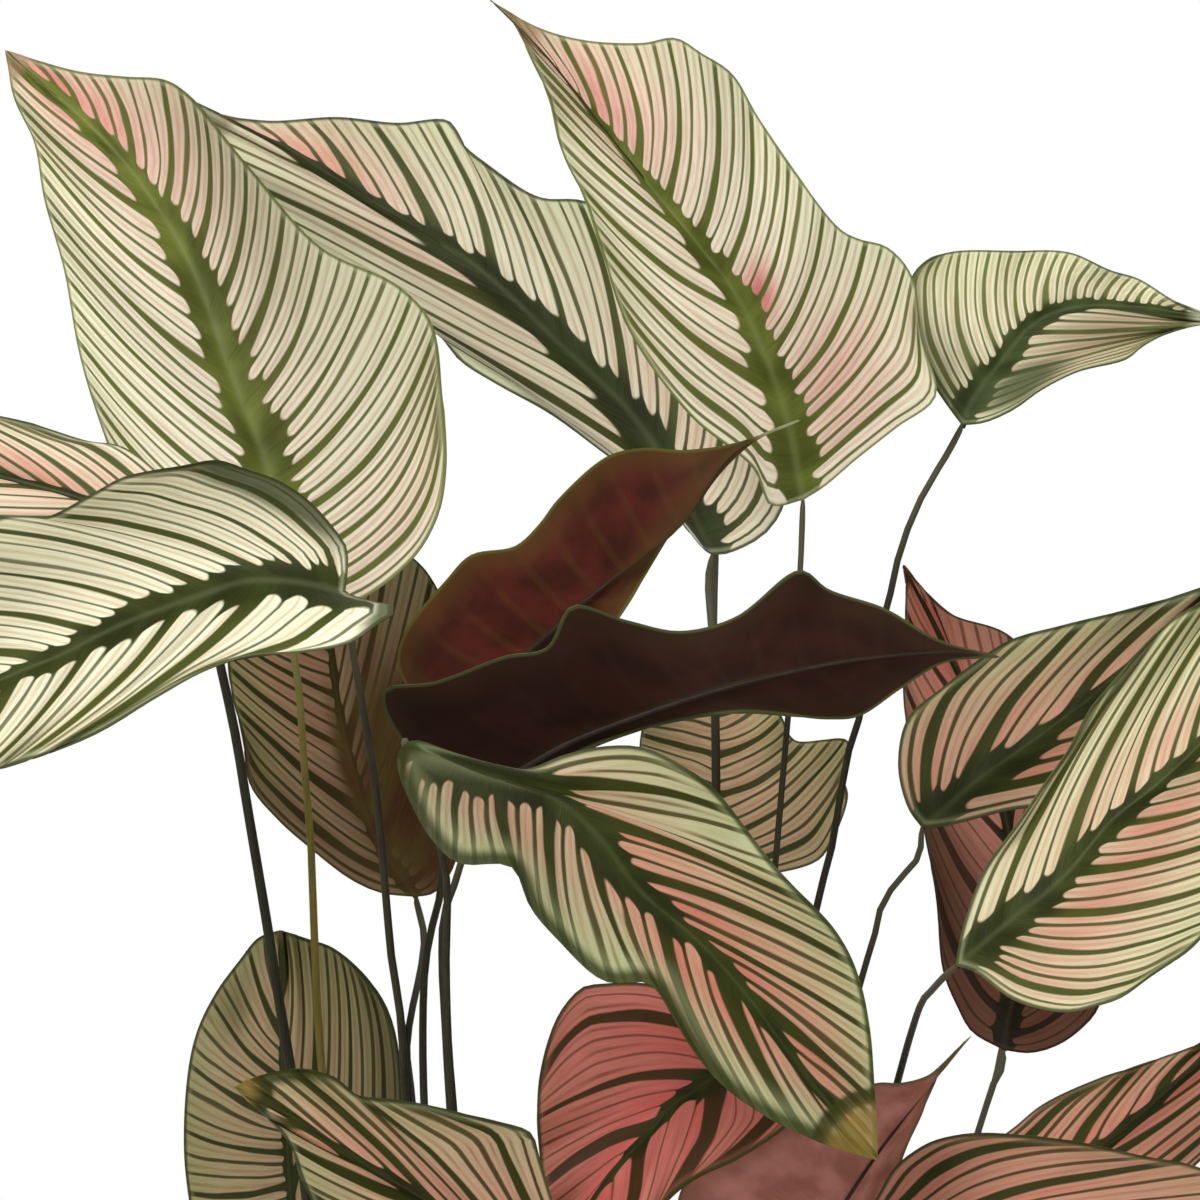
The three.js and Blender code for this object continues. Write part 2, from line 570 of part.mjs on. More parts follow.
// A blade: the sheet given its thickness, with a keel under the rib
function bladeBody(leaf) {
  const { points, faces, tip, columns } = bladeSheet(leaf);
  const normals = geometryOf(points, faces).getAttribute('normal');
  const front = [];
  const back = [];
  points.forEach((point, index) => {
    const normal = new THREE.Vector3().fromBufferAttribute(normals, index);
    const along = Math.floor(index / columns) / veinLines;
    const onRib = index === tip || index % columns === veinSteps;
    const keel = onRib && along > 0 ? keelDepth * (1 - 0.85 * along) : 0;
    const half = bladeThickness / 2;
    front.push(point.clone().addScaledVector(normal, half + (leaf.under ? keel : 0)));
    back.push(point.clone().addScaledVector(normal, -half - (leaf.under ? 0 : keel)));
  });
  const count = points.length;
  const closed = faces.concat(faces.map(([a, b, c]) => [a + count, c + count, b + count]));
  const rim = [];
  for (let column = 0; column < columns; column += 1) rim.push(column);
  for (let row = 1; row < veinLines; row += 1) rim.push(row * columns + columns - 1);
  rim.push(tip);
  for (let row = veinLines - 1; row > 0; row -= 1) rim.push(row * columns);
  rim.forEach((here, index) => {
    const next = rim[(index + 1) % rim.length];
    closed.push([here + count, next + count, next], [here + count, next, here]);
  });
  return geometryOf(front.concat(back), closed);
}

// A round bar through stations, each with a centre, a direction and a radius
function roundBar(stations, sides) {
  const points = [];
  for (const { centre, forward, radius } of stations) {
    const sideways = new THREE.Vector3().crossVectors(forward, new THREE.Vector3(0, 1, 0)).normalize();
    const upwards = new THREE.Vector3().crossVectors(forward, sideways);
    for (let side = 0; side < sides; side += 1) {
      const angle = 2 * Math.PI * side / sides;
      const point = centre.clone().addScaledVector(sideways, radius * Math.cos(angle));
      points.push(point.addScaledVector(upwards, radius * Math.sin(angle)));
    }
  }
  const last = stations.length - 1;
  const faces = [];
  const start = points.push(stations[0].centre.clone()) - 1;
  const end = points.push(stations[last].centre.clone()) - 1;
  for (let side = 0; side < sides; side += 1) {
    const next = (side + 1) % sides;
    faces.push([start, next, side], [end, last * sides + side, last * sides + next]);
    for (let step = 0; step < last; step += 1) {
      const near = step * sides;
      const far = near + sides;
      faces.push([near + side, near + next, far + side], [near + next, far + next, far + side]);
    }
  }
  return geometryOf(points, faces);
}

// A stalk from just under the blade down into the soil, thicker at the joint under the blade
function stalkStations(leaf) {
  const base = place(leaf.rib[0], leaf.depth);
  const picks = leaf.stalk.map((pick) => place(pick, leaf.depth));
  const away = picks[0].clone().sub(base).normalize();
  const foot = new THREE.Vector3(leaf.foot[0], leaf.foot[1], soilTop);
  const line = smoothLine([base.addScaledVector(away, jointGap), ...picks, foot]);
  const length = line.getLength();
  const shares = [0, 2.5 / length, 9 / length, 17 / length];
  for (let step = 1; step <= stalkSteps; step += 1) {
    shares.push(THREE.MathUtils.lerp(17 / length, 1, step / stalkSteps));
  }
  const joint = [0.5, 1.2, 1.25, 1];
  const stations = shares.map((share, index) => {
    const slim = THREE.MathUtils.lerp(0.78, 1, share);
    return {
      centre: line.getPointAt(Math.min(1, share)),
      forward: line.getTangentAt(Math.min(1, share)),
      radius: leaf.thick * slim * (joint[index] ?? 1),
    };
  });
  const bottom = stations[stations.length - 1];
  const buried = bottom.centre.clone().addScaledVector(bottom.forward, stalkFootDepth);
  return [...stations, { ...bottom, centre: buried }];
}

// The hole that a stalk stands in
function stalkHole(stations) {
  const bottom = stations[stations.length - 1];
  const radius = (bottom.radius + fitGap) / Math.cos(Math.PI / holeSides);
  const above = bottom.centre.clone().addScaledVector(bottom.forward, -stalkFootDepth - 18);
  const below = bottom.centre.clone().addScaledVector(bottom.forward, fitGap);
  const { forward } = bottom;
  return roundBar([{ centre: above, forward, radius }, { centre: below, forward, radius }], holeSides);
}

// A round body turned from an outline of [radius, height] that starts and ends on the axis
function turned(outline) {
  const profile = outline.map(([radius, height]) => new THREE.Vector2(radius, height));
  return new THREE.LatheGeometry(profile, roundSegments).rotateX(Math.PI / 2);
}

// The pot's inside wall, which the soil follows
const innerTop = potTopRadius - rimOverhang - potWall;
const innerFoot = potFootRadius - potWall;
const floorHeight = 3;
function innerRadius(height) {
  return THREE.MathUtils.mapLinear(height, floorHeight, potHeight - 1.2, innerFoot, innerTop);
}

function potBody() {
  const outer = (height) => innerRadius(height) + potWall;
  const rimFoot = potHeight - rimHeight;
  const outline = [
    [0, 0],
    [potFootRadius - 3, 0],
    [potFootRadius - 0.9, 0.9],
    [potFootRadius, 3],
    [outer(rimFoot - 4), rimFoot - 4],
    [outer(rimFoot) + 0.8, rimFoot - 1],
    [potTopRadius - 1, rimFoot],
    [potTopRadius - 0.3, rimFoot + 0.8],
    [potTopRadius, potHeight - 2],
    [potTopRadius - 0.8, potHeight - 0.5],
    [potTopRadius - 2, potHeight],
    [innerTop + 1.2, potHeight],
    [innerTop, potHeight - 1.2],
    [innerFoot, floorHeight],
    [0, floorHeight],
  ];
  return turned(outline);
}

// How far the soil's top rises or dips at a place
function soilRise(x, y) {
  return 1.4 * Math.sin(x / 11 + 1.3) * Math.cos(y / 13) + Math.sin((x + y) / 7.5);
}

function soilBody() {
  const low = floorHeight + fitGap;
  const outline = [
    [0, low],
    [innerRadius(low) - fitGap, low],
    [innerRadius(soilTop - 3) - fitGap, soilTop - 3],
    [innerRadius(soilTop) - 5, soilTop],
    [78, soilTop + 1],
    [60, soilTop + 2],
    [40, soilTop + 2],
    [20, soilTop + 1],
    [0, soilTop + 1],
  ];
  const geometry = turned(outline);
  const points = geometry.getAttribute('position');
  for (let index = 0; index < points.count; index += 1) {
    const [x, y, z] = [points.getX(index), points.getY(index), points.getZ(index)];
    if (z >= soilTop) points.setZ(index, z + soilRise(x, y));
  }
  return geometry;
}

const wasm = await Module();
wasm.setup();

// A closed geometry as a solid that others can be cut from
function solidOf(geometry) {
  const bare = new THREE.BufferGeometry();
  bare.setAttribute('position', geometry.getAttribute('position'));
  bare.setIndex(geometry.getIndex());
  const joined = mergeVertices(bare);
  const corners = Array.from(joined.getIndex().array);
  const triVerts = [];
  for (let corner = 0; corner < corners.length; corner += 3) {
    const face = corners.slice(corner, corner + 3);
    if (new Set(face).size === 3) triVerts.push(...face);
  }
  const mesh = new wasm.Mesh({
    numProp: 3,
    vertProperties: new Float32Array(joined.getAttribute('position').array),
    triVerts: new Uint32Array(triVerts),
  });
  return new wasm.Manifold(mesh);
}

// A solid back as a geometry
function geometryOfSolid(solid) {
  const { vertProperties, numProp, triVerts } = solid.getMesh();
  const geometry = new THREE.BufferGeometry();
  geometry.setAttribute('position', new THREE.Float32BufferAttribute(vertProperties, numProp));
  geometry.setIndex(new THREE.Uint32BufferAttribute(triVerts, 1));
  geometry.computeVertexNormals();
  return geometry;
}

// The surface that a blade shows to the front
function bladeSurface(leaf) {
  if (leaf.under) return 'maroonBlade';
  return { lime: 'limeBlade', coral: 'coralBlade' }[leaf.tone] ?? 'blade';
}

const group = new THREE.Group();
function addMesh(name, geometry, surface) {
  const material = new THREE.MeshStandardMaterial({ ...surfaces[surface], metalness: 0 });
  const mesh = new THREE.Mesh(geometry, material);
  mesh.name = name;
  group.add(mesh);
}

// Every leaf, then the pot, and the soil with a hole for each stalk
let soil = solidOf(soilBody());
for (const [name, leaf] of Object.entries(leaves)) {
  addMesh(`blade_${name}`, bladeBody(leaf), bladeSurface(leaf));
  const stations = stalkStations(leaf);
  const surface = leaf.tone === 'lime' ? 'limeStalk' : 'stalk';
  addMesh(`stalk_${name}`, roundBar(stations, stalkSides), surface);
  soil = soil.subtract(solidOf(stalkHole(stations)));
}
addMesh('pot', potBody(), 'pot');
addMesh('soil', geometryOfSolid(soil), 'soil');

export default group;
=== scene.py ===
# Potted white star calathea: striped leaves on long thin stalks in a plain nursery pot.
# Metres, +Z up, front towards -Y, origin at the middle of the pot's underside.

import math
import random

import bpy
import numpy as np
from mathutils import Matrix, Vector
from mathutils.kdtree import KDTree


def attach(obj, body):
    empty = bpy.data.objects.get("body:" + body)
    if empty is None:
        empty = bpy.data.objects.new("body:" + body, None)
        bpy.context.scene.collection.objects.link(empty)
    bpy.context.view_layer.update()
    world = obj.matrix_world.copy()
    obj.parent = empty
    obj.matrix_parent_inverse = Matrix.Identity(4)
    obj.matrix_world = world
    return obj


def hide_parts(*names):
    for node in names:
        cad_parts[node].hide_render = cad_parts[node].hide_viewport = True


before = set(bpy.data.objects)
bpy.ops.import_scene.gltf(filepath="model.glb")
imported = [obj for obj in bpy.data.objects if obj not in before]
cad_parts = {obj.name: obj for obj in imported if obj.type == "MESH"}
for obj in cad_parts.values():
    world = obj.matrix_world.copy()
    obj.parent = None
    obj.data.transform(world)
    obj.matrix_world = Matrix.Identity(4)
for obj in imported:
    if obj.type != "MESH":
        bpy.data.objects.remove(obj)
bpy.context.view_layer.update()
bpy.ops.object.select_all(action="DESELECT")
print("Model loaded with", len(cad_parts), "nodes")

mm = 0.001

# The front view that the picked places belong to: a level look along +Y, in millimetres
view = {"distance": 2400, "centreX": 15, "centreZ": 641, "middle": 600, "mmPerPick": 0.375}

# How every blade is shaped, in millimetres
bladeShape = {
    "rows": 88,  # veins from base to tip
    "outs": (0, 0.02, 0.045, 0.075, 0.11, 0.15, 0.2, *np.linspace(0.25, 0.91, 19), 0.945, 0.975, 1),
    "veinBend": 0.45,  # where along its way a vein turns towards the tip
    "baseShare": 0.2,  # how far up the rib the veins still crowd together
    "thickness": 0.62, "leastShare": 0.12, "fullAcross": 1.4,  # thinned where the halves meet
    "wave": 3, "waveTurns": 3.4,
    "pleat": 0.34, "channel": 1.1, "grooveWidth": 2.6,  # how deep the veins and the rib lie
    "veinFade": (6, 4),  # from the edge and from the rib
    "driedSoft": 5, "seam": (3, 3.5),  # the dried tip, and the green seam before it
    "ribRadius": 1.25, "ribTaper": 0.82, "usualThick": 2.1, "ribLevel": 0.72,
    "bandLength": 225, "band": (7.4, 6.9),  # half the dark band's width, and how much it tapers
}

# How every stalk is shaped, in millimetres
stalkShape = {
    "jointAt": (0, 3, 8, 14, 20), "joint": (0.6, 0.92, 1.04, 1.03, 1),  # the swollen joint
    "slim": 0.68, "more": 0.32,  # how thick it is by the blade, and how much thicker in the soil
    "buried": 22, "rings": 44, "sides": 14,
}

potShape = {
    "height": 190, "topRadius": 105, "footRadius": 74, "wall": 2.4,
    "rimHeight": 15, "rimOverhang": 3.6, "lip": 1.2, "floor": 3, "segments": 160,
}

soilShape = {
    "top": 170, "depth": 18, "dome": 2.5, "cells": 100, "lump": 1.5, "grain": 1.1,
    "crumbs": 620, "flakes": 120, "seed": 11,
}

# Leaf by leaf, in millimetres and in shares of the leaf. rib, left, right and stalk hold
# picks in the front view and how far each lies behind the leaf's own depth. lean is how the
# blade tips back across and down the view, foot is where the stalk enters the soil, and
# thick is its radius there. under marks a leaf that shows its underside, which has the
# colours of underTone. surface is the finish of the upper side. blush is where the
# stripes turn pink and shade where the leaf is darkened, partly for age and partly as painted
# shade where it sits in shade or turns from the light: share along the rib, share out from it
# (left below zero), how far it reaches each way, and how strong it is. plain is where the
# stripes give way to olive brown and green where they give way to green. band widens the
# dark band along the rib, and rim the green line on the left and the right edge. The tip has
# dried over the share of the rib's length that lies beyond tipFrom. spacing is from one main
# vein to the next on the left and the right. leftVeins and rightVeins are where the first
# vein ends on that edge, how soon the others reach the tip, the degrees that they turn
# towards it, and how long the first ones stay close to the base.
usualLeaf = {  # what a leaf has where it says nothing else
    "under": False, "rim": (1, 1), "leftVeins": (0.3, 1.6, 12, 1), "rightVeins": (0.3, 1.6, 12, 1),
    "underTone": "maroon", "blush": (), "shade": (), "plain": (), "green": (), "tipFrom": 0.965,
}
leaves = {
    "upperLeft": {
        "depth": -45, "lean": (-0.25, -0.3), "foot": (-22, -12), "thick": 1.9, "surface": "lime",
        "band": 0.98, "rim": (1.4, 1.4), "spacing": (17, 15.5), "tipFrom": 0.95,
        "leftVeins": (0.37, 2.02, 10.79, 0.79), "rightVeins": (0.3, 1.7, 17.99, 1.18),
        "blush": [(0.86, 0.5, 0.3, 1.1, 1.1), (0.85, -0.5, 0.22, 0.8, 0.9),
            (0.03, 0.5, 0.05, 0.4, 0.25), (0.45, 0.1, 0.3, 0.2, 0.2)],
        "shade": [(0.42, 0.85, 0.32, 0.85, 0.62)],
        "rib": [(292, 600, -5), (268, 475, -14), (230, 375, -18), (190, 265, -16), (120, 158, -8),
            (5, 50, 12)],
        "left": [(235, 618, 6), (150, 545, 20), (103, 430, 28), (80, 355, 28), (64, 268, 24),
            (45, 200, 20), (34, 142, 18), (14, 96, 16)],
        "right": [(345, 606, 4), (410, 562, 6), (437, 518, 2), (446, 470, 0), (442, 392, 4),
            (431, 322, 2), (397, 285, -2), (322, 248, -6), (250, 168, -6), (188, 94, 2), (165, 80, 4),
            (125, 77, 6), (80, 72, 8), (40, 61, 10)],
        "stalk": [(294, 656, 0), (299, 690, 4), (304, 762, 8), (311, 847, 12), (313, 900, 15),
            (322, 1070, 20), (360, 1350, 28)],
    },
    "upperBack": {
        "depth": 40, "lean": (-0.1, -0.14), "foot": (16, 2), "thick": 2.3, "surface": "sage",
        "band": 0.62, "rim": (1.4, 1.4), "spacing": (23, 19), "tipFrom": 0.93,
        "leftVeins": (0.5, 2.34, -0.2, 0.82), "rightVeins": (0.32, 1.27, 11.13, 0.94),
        "blush": [(0.78, 0.4, 0.16, 0.8, 0.9), (0.15, 0.3, 0.15, 0.5, 0.3),
            (0.6, -0.4, 0.4, 0.5, 0.35)],
        "shade": [(0.4, 0.8, 0.5, 0.6, 0.12), (0.3, -0.3, 0.5, 0.5, 0.1)],
        "rib": [(713, 555, -8), (640, 425, -2), (560, 345, 0), (480, 270, 4), (380, 208, 8),
            (280, 145, 12), (190, 100, 18)],
        "left": [(702, 547, 4), (680, 520, 6), (640, 480, 10), (604, 453, 14), (552, 415, 20),
            (496, 384, 24), (459, 360, 26), (434, 329, 28), (310, 250, 28), (235, 175, 24)],
        "right": [(729, 553, -10), (766, 533, -8), (785, 502, -8), (790, 440, -4), (740, 320, 2),
            (590, 203, 6), (539, 197, 4), (487, 164, 6), (462, 143, 8), (449, 121, 10), (397, 123, 12),
            (338, 117, 14), (267, 121, 16), (214, 112, 18)],
        "stalk": [(709, 580, -4), (713, 640, -8), (716, 790, -10), (712, 1000, -14), (690, 1300, -20),
            (630, 1620, -30)],
    },
    "lowerLeftFront": {
        "depth": -125, "lean": (0.25, -0.35), "foot": (-14, -26), "thick": 1.9, "surface": "ivory",
        "band": 0.9, "rim": (1.5, 1.5), "spacing": (14, 16.5),
        "leftVeins": (0.68, 0.88, 11.91, 1.21), "rightVeins": (0.36, 1.3, 14.75, 0.79),
        "blush": [(0.4, 0.3, 0.4, 0.3, 0.04)], "shade": [(0.3, 0.8, 9, 0.6, 0.45)],
        "green": [(0.0, 0.55, 0.035, 0.45, 1.0), (0.0, -0.13, 0.02, 0.12, 1.0)],
        "rib": [(345, 593, 6), (300, 581, 0), (248, 580, -2), (217, 589, -4), (124, 623, -6),
            (62, 654, -8), (0, 680, -8), (-150, 760, 4)],
        "left": [(368, 601, 6), (398, 608, 2), (372, 628, -2), (347, 644, -6), (300, 652, -8),
            (248, 655, -10), (205, 670, -10), (155, 698, -8), (93, 735, -8), (0, 769, -6),
            (-90, 790, 0)],
        "right": [(348, 565, 8), (346, 546, 10), (335, 530, 12), (310, 502, 14), (279, 481, 14),
            (248, 470, 14), (217, 460, 12), (186, 465, 10), (124, 477, 8), (93, 493, 6), (43, 518, 6),
            (0, 518, 4), (-90, 600, 4)],
        "stalk": [(346, 598, 13), (352, 646, 19), (362, 704, 22), (376, 790, 28), (386, 898, 36),
            (392, 962, 40), (400, 1012, 44), (420, 1300, 66)],
    },
    "farLeft": {
        "depth": -85, "lean": (-0.2, -0.3), "foot": (-27, 4), "thick": 2.4, "surface": "sage",
        "band": 0.22, "spacing": (14.6, 14.6),
        "leftVeins": (0.75, 2.08, 0.39, 0.61), "rightVeins": (0.38, 1.8, 11.25, 0.95),
        "blush": [(0.3, 0.1, 0.3, 0.5, 0.75), (0.6, 0.2, 0.3, 0.3, 0.3)],
        "rib": [(180, 525, 4), (90, 500, 0), (0, 476, 0), (-130, 450, -8), (-300, 455, -20)],
        "left": [(185, 560, 0), (110, 575, -6), (0, 572, -10), (-140, 555, -14)],
        "right": [(175, 495, 6), (155, 470, 8), (120, 446, 10), (90, 442, 10), (37, 425, 8),
            (0, 416, 6), (-140, 395, -4)],
        "stalk": [(184, 534, 16), (205, 600, 24), (222, 673, 32), (236, 738, 40), (247, 805, 48),
            (258, 870, 54), (268, 930, 58), (279, 1000, 62), (290, 1065, 66), (340, 1400, 76)],
    },
    "upperRight": {
        "depth": -20, "lean": (0.22, 0.2), "foot": (20, -12), "thick": 1.6, "surface": "lime",
        "band": 0.74, "spacing": (16.2, 16.2), "tipFrom": 0.9,
        "leftVeins": (0.46, 1.54, 15.43, 1.09), "rightVeins": (0.29, 1.79, 23.99, 1.28),
        "blush": [(0.76, 0.5, 0.2, 0.9, 0.85), (0.88, -0.5, 0.12, 0.6, 0.7),
            (0.33, 0.15, 0.06, 0.2, 1.0), (0.14, 0.35, 0.12, 0.45, 0.55), (0.25, -0.2, 0.2, 0.3, 0.2)],
        "rib": [(803, 500, 8), (785, 410, 4), (740, 302, -2), (700, 248, -6), (620, 150, -8),
            (545, 55, -2), (490, 0, 10)],
        "left": [(770, 505, 2), (755, 470, 0), (690, 415, -4), (630, 332, 0), (603, 255, 0),
            (585, 200, 2), (561, 149, 4), (549, 99, 6), (530, 56, 8), (511, 19, 10)],
        "right": [(825, 486, 6), (853, 462, 6), (896, 428, 6), (936, 396, 2), (922, 340, 8),
            (912, 276, 6), (887, 247, 6), (859, 239, 6), (840, 229, 6), (797, 174, 2), (757, 115, 4),
            (732, 74, 6), (701, 53, 4), (676, 38, 4), (642, 43, 2), (583, 40, 6), (539, 28, 8)],
        "stalk": [(800, 575, 12), (794, 650, 16), (788, 717, 20), (775, 868, 24), (755, 1100, 28),
            (715, 1400, 28)],
    },
    "smallRight": {
        "depth": 0, "lean": (0.3, -0.4), "foot": (26, 4), "thick": 1.8, "surface": "pale", "band": 0.9,
        "spacing": (11.8, 11.8), "tipFrom": 0.9,
        "leftVeins": (0.39, 1.19, 24.83, 1.26), "rightVeins": (0.75, 1.6, 2.37, 0.71),
        "blush": [(0.35, 0.6, 0.3, 0.4, 0.4)], "shade": [(0.4, 0.5, 0.4, 0.5, 0.5)],
        "green": [(0.0, -0.5, 0.05, 0.6, 0.9), (0.1, 0.25, 0.14, 0.3, 0.8)],
        "rib": [(962, 425, 0), (972, 400, 0), (1002, 360, 0), (1033, 324, 0), (1072, 307, 2),
            (1130, 306, 2), (1225, 320, 0)],
        "left": [(952, 412, 2), (933, 384, 4), (915, 347, 6), (909, 298, 8), (912, 276, 8),
            (927, 260, 6), (952, 252, 6), (1014, 251, 4), (1070, 253, 2), (1110, 270, 2),
            (1138, 279, 2), (1175, 301, 0)],
        "right": [(985, 422, -6), (1014, 409, -12), (1039, 391, -16), (1076, 372, -18),
            (1126, 359, -14), (1141, 347, -12), (1169, 332, -6)],
        "stalk": [(959, 432, 2), (946, 456, 4), (927, 487, 5), (912, 518, 6), (899, 555, 7),
            (887, 608, 8), (871, 660, 12), (859, 719, 16), (849, 750, 18), (840, 798, 20),
            (832, 846, 22), (816, 910, 24), (790, 1100, 26), (740, 1400, 24)],
    },
    "darkUpper": {
        "depth": -60, "lean": (0, 0.4), "foot": (-10, -6), "thick": 1.9, "under": True,
        "underTone": "red", "surface": "white", "band": 0.8, "spacing": (13.8, 13.8), "tipFrom": 0.9,
        "leftVeins": (0.15, 1.2, 12, 1), "rightVeins": (0.1, 1.2, 12, 1),
        "shade": [(0.75, 0, 0.35, 2, 0.4)],
        "rib": [(470, 700, 6), (530, 650, 0), (591, 596, -4), (680, 525, -4), (734, 452, 6),
            (800, 420, 14)],
        "left": [(420, 700, 10), (398, 665, 10), (405, 632, 8), (446, 580, 6), (471, 555, 4),
            (515, 546, 0), (539, 524, 0), (558, 499, 2), (608, 456, 4), (642, 448, 6), (685, 450, 8),
            (744, 441, 10)],
        "right": [(500, 730, 2), (570, 680, -4), (626, 608, -6), (661, 549, -4), (704, 487, 4),
            (729, 462, 8), (762, 436, 12)],
        "stalk": [(455, 730, 12), (446, 800, 20), (440, 895, 26), (430, 935, 28), (425, 968, 30),
            (423, 1015, 32), (424, 1100, 34), (440, 1350, 42)],
    },
    "darkMiddle": {
        "depth": -100, "lean": (0.1, 0.4), "foot": (-4, -14), "thick": 1.9, "under": True,
        "surface": "white", "band": 0.8, "spacing": (15.1, 15.1),
        "leftVeins": (0.15, 1.2, 12, 1), "rightVeins": (0.08, 1.2, 12, 1),
        "shade": [(0.05, 0, 0.3, 2, 0.55)],
        "rib": [(500, 780, 4), (560, 745, -2), (650, 710, -6), (760, 678, -8), (850, 660, -6),
            (955, 652, 4), (1000, 657, 8)],
        "left": [(430, 765, 6), (392, 725, 6), (384, 690, 4), (434, 682, 2), (505, 656, 0),
            (546, 648, -4), (572, 606, -4), (626, 620, 0), (680, 631, 2), (735, 617, 2), (800, 570, 2),
            (828, 589, 4), (884, 608, 4), (940, 640, 6)],
        "right": [(520, 785, 2), (570, 758, -4), (617, 738, -6), (673, 722, -8), (741, 713, -8),
            (828, 719, -6), (859, 716, -4), (902, 688, 0), (945, 662, 4)],
        "stalk": [(492, 790, 8), (470, 835, 18), (456, 880, 26), (444, 915, 32), (442, 960, 38),
            (445, 1020, 42), (450, 1105, 46), (470, 1350, 66)],
    },
    "centreFront": {
        "depth": -160, "lean": (0.1, -0.15), "foot": (2, -30), "thick": 1.9, "surface": "blush",
        "band": 0.8, "rim": (2, 5.5), "spacing": (15, 16), "tipFrom": 0.915,
        "leftVeins": (0.43, 2.33, 9.02, 1.36), "rightVeins": (0.07, 2.51, 13.79, 1.18),
        "blush": [(0.5, -0.15, 0.35, 0.5, 1.0), (0.6, -0.55, 0.35, 0.4, 0.7), (0.6, 0.2, 0.3, 0.4, 1.0),
            (0.25, -0.1, 0.2, 0.3, 0.5), (0.75, -0.4, 0.2, 0.6, 0.9), (0.18, 0.35, 0.1, 0.3, 0.5)],
        "shade": [(0.5, 0, 9, 9, 0.14), (0.12, 0.5, 0.25, 0.9, 0.42)],
        "green": [(0.86, 0.9, 0.12, 0.3, 0.8)],
        "rib": [(406, 742, 6), (440, 757, 6), (480, 773, 6), (520, 784, 4), (557, 799, 2),
            (598, 835, -2), (640, 890, -4), (692, 934, -8), (744, 991, -8), (800, 1068, -4),
            (878, 1160, 4)],
        "left": [(418, 741, 8), (450, 752, 11), (488, 764, 13), (525, 770, 12), (562, 756, 9),
            (600, 747, 8), (640, 747, 6), (676, 762, 4), (713, 788, 2), (775, 866, 4), (838, 934, 2),
            (858, 975, 2), (870, 1030, 4), (875, 1095, 4)],
        "right": [(399, 752, 10), (398, 768, 12), (411, 804, 10), (432, 840, 6), (458, 863, 2),
            (512, 867, -2), (531, 908, -4), (557, 939, -4), (604, 981, -4), (650, 984, -4),
            (671, 1012, -4), (692, 1048, -4), (723, 1085, -4), (765, 1116, -2), (830, 1146, 2)],
        "stalk": [(405, 744, 22), (411, 768, 36), (424, 800, 46), (440, 845, 54), (447, 885, 61),
            (447, 920, 66), (446, 960, 70), (448, 1040, 76), (453, 1105, 82), (475, 1350, 104)],
    },
    "shadedLeft": {
        "depth": 60, "lean": (0.2, -0.22), "foot": (-14, 14), "thick": 1.9, "surface": "shaded",
        "band": 0.35, "spacing": (15, 15),
        "leftVeins": (0.42, 0.72, 9.67, 1.04), "rightVeins": (0.4, 2.3, 4.18, 0.9),
        "blush": [(0.6, 0.6, 0.4, 0.5, 0.6), (0.5, -0.3, 0.5, 0.5, 0.6)],
        "shade": [(0.1, 0, 0.2, 2, 0.25), (0.4, 1, 0.3, 0.4, 0.3)],
        "plain": [(0.15, 0.3, 0.3, 0.45, 1.3), (0.32, -0.05, 0.18, 0.12, 1.1),
            (0.02, 0, 0.1, 1.5, 0.5)],
        "rib": [(416, 897, 2), (376, 838, 2), (352, 765, 2), (336, 690, 2), (328, 600, 0),
            (335, 470, -5)],
        "left": [(381, 893, 4), (350, 879, 4), (306, 845, 6), (277, 819, 6), (250, 785, 6),
            (243, 740, 6), (228, 665, 6), (240, 560, 2)],
        "right": [(434, 893, 0), (454, 866, -4), (462, 790, -6), (450, 690, -4), (445, 610, -2),
            (427, 572, -2), (380, 530, -2)],
        "stalk": [(417, 904, 4), (424, 935, 0), (421, 968, -4), (413, 1005, -8), (407, 1045, -10),
            (410, 1100, -12), (430, 1300, -20), (490, 1600, -36)],
    },
    "shadedCentre": {
        "depth": 80, "lean": (-0.2, -0.2), "foot": (14, 18), "thick": 1.6, "surface": "shaded",
        "band": 0.4, "spacing": (15, 15),
        "leftVeins": (0.44, 0.7, -3.15, 1.27), "rightVeins": (0.42, 0.79, 23.05, 0.71),
        "blush": [(0.5, 0, 1, 1, 0.35)], "shade": [(0.5, 0, 9, 9, 0.12)],
        "rib": [(728, 874, 2), (720, 828, 2), (716, 760, 2), (712, 700, 2), (706, 648, 0)],
        "left": [(704, 872, 4), (670, 838, 6), (646, 790, 6), (640, 740, 6), (660, 690, 4)],
        "right": [(770, 874, 0), (817, 861, -2), (830, 845, -4), (848, 796, -4), (843, 778, -4),
            (848, 741, -4), (795, 740, -2), (780, 714, -2), (745, 675, 0)],
        "stalk": [(732, 940, 0), (730, 1040, -6), (700, 1300, -24), (650, 1620, -46)],
    },
    "lowLeftBack": {
        "depth": 15, "lean": (-0.3, -0.25), "foot": (-28, 16), "thick": 1.6, "surface": "shaded",
        "band": 0.45, "rim": (1.5, 1.5), "spacing": (16, 16),
        "leftVeins": (0.12, 2.89, 13.71, 1.78), "rightVeins": (0.74, 2.26, 15.43, 0.61),
        "blush": [(0.5, 0, 1, 1, 0.12)], "shade": [(0.5, 0, 9, 9, 0.36)],
        # the first green spot is painted shade: green grey inside the curl at the upper left
        "green": [(0.62, -0.75, 0.13, 0.4, 0.5), (0.0, 0.0, 0.1, 9, 0.5)],
        "rib": [(300, 1290, 10), (290, 1190, 4), (282, 1060, 0), (280, 930, -3)],
        "left": [(262, 1296, 10), (205, 1250, 8), (186, 1175, 6), (187, 1080, 4), (197, 1032, 4),
            (216, 993, 2), (240, 960, 0), (258, 938, -2)],
        "right": [(340, 1285, 8), (385, 1220, 4), (402, 1120, 0), (388, 1010, -2), (338, 951, -3),
            (305, 938, -3)],
        "stalk": [(306, 1330, 8), (340, 1450, 6), (420, 1640, 2)],
    },
    "lowLeftFront": {
        "depth": -118, "lean": (0.3, -0.3), "foot": (-2, -40), "thick": 1.7, "surface": "blush",
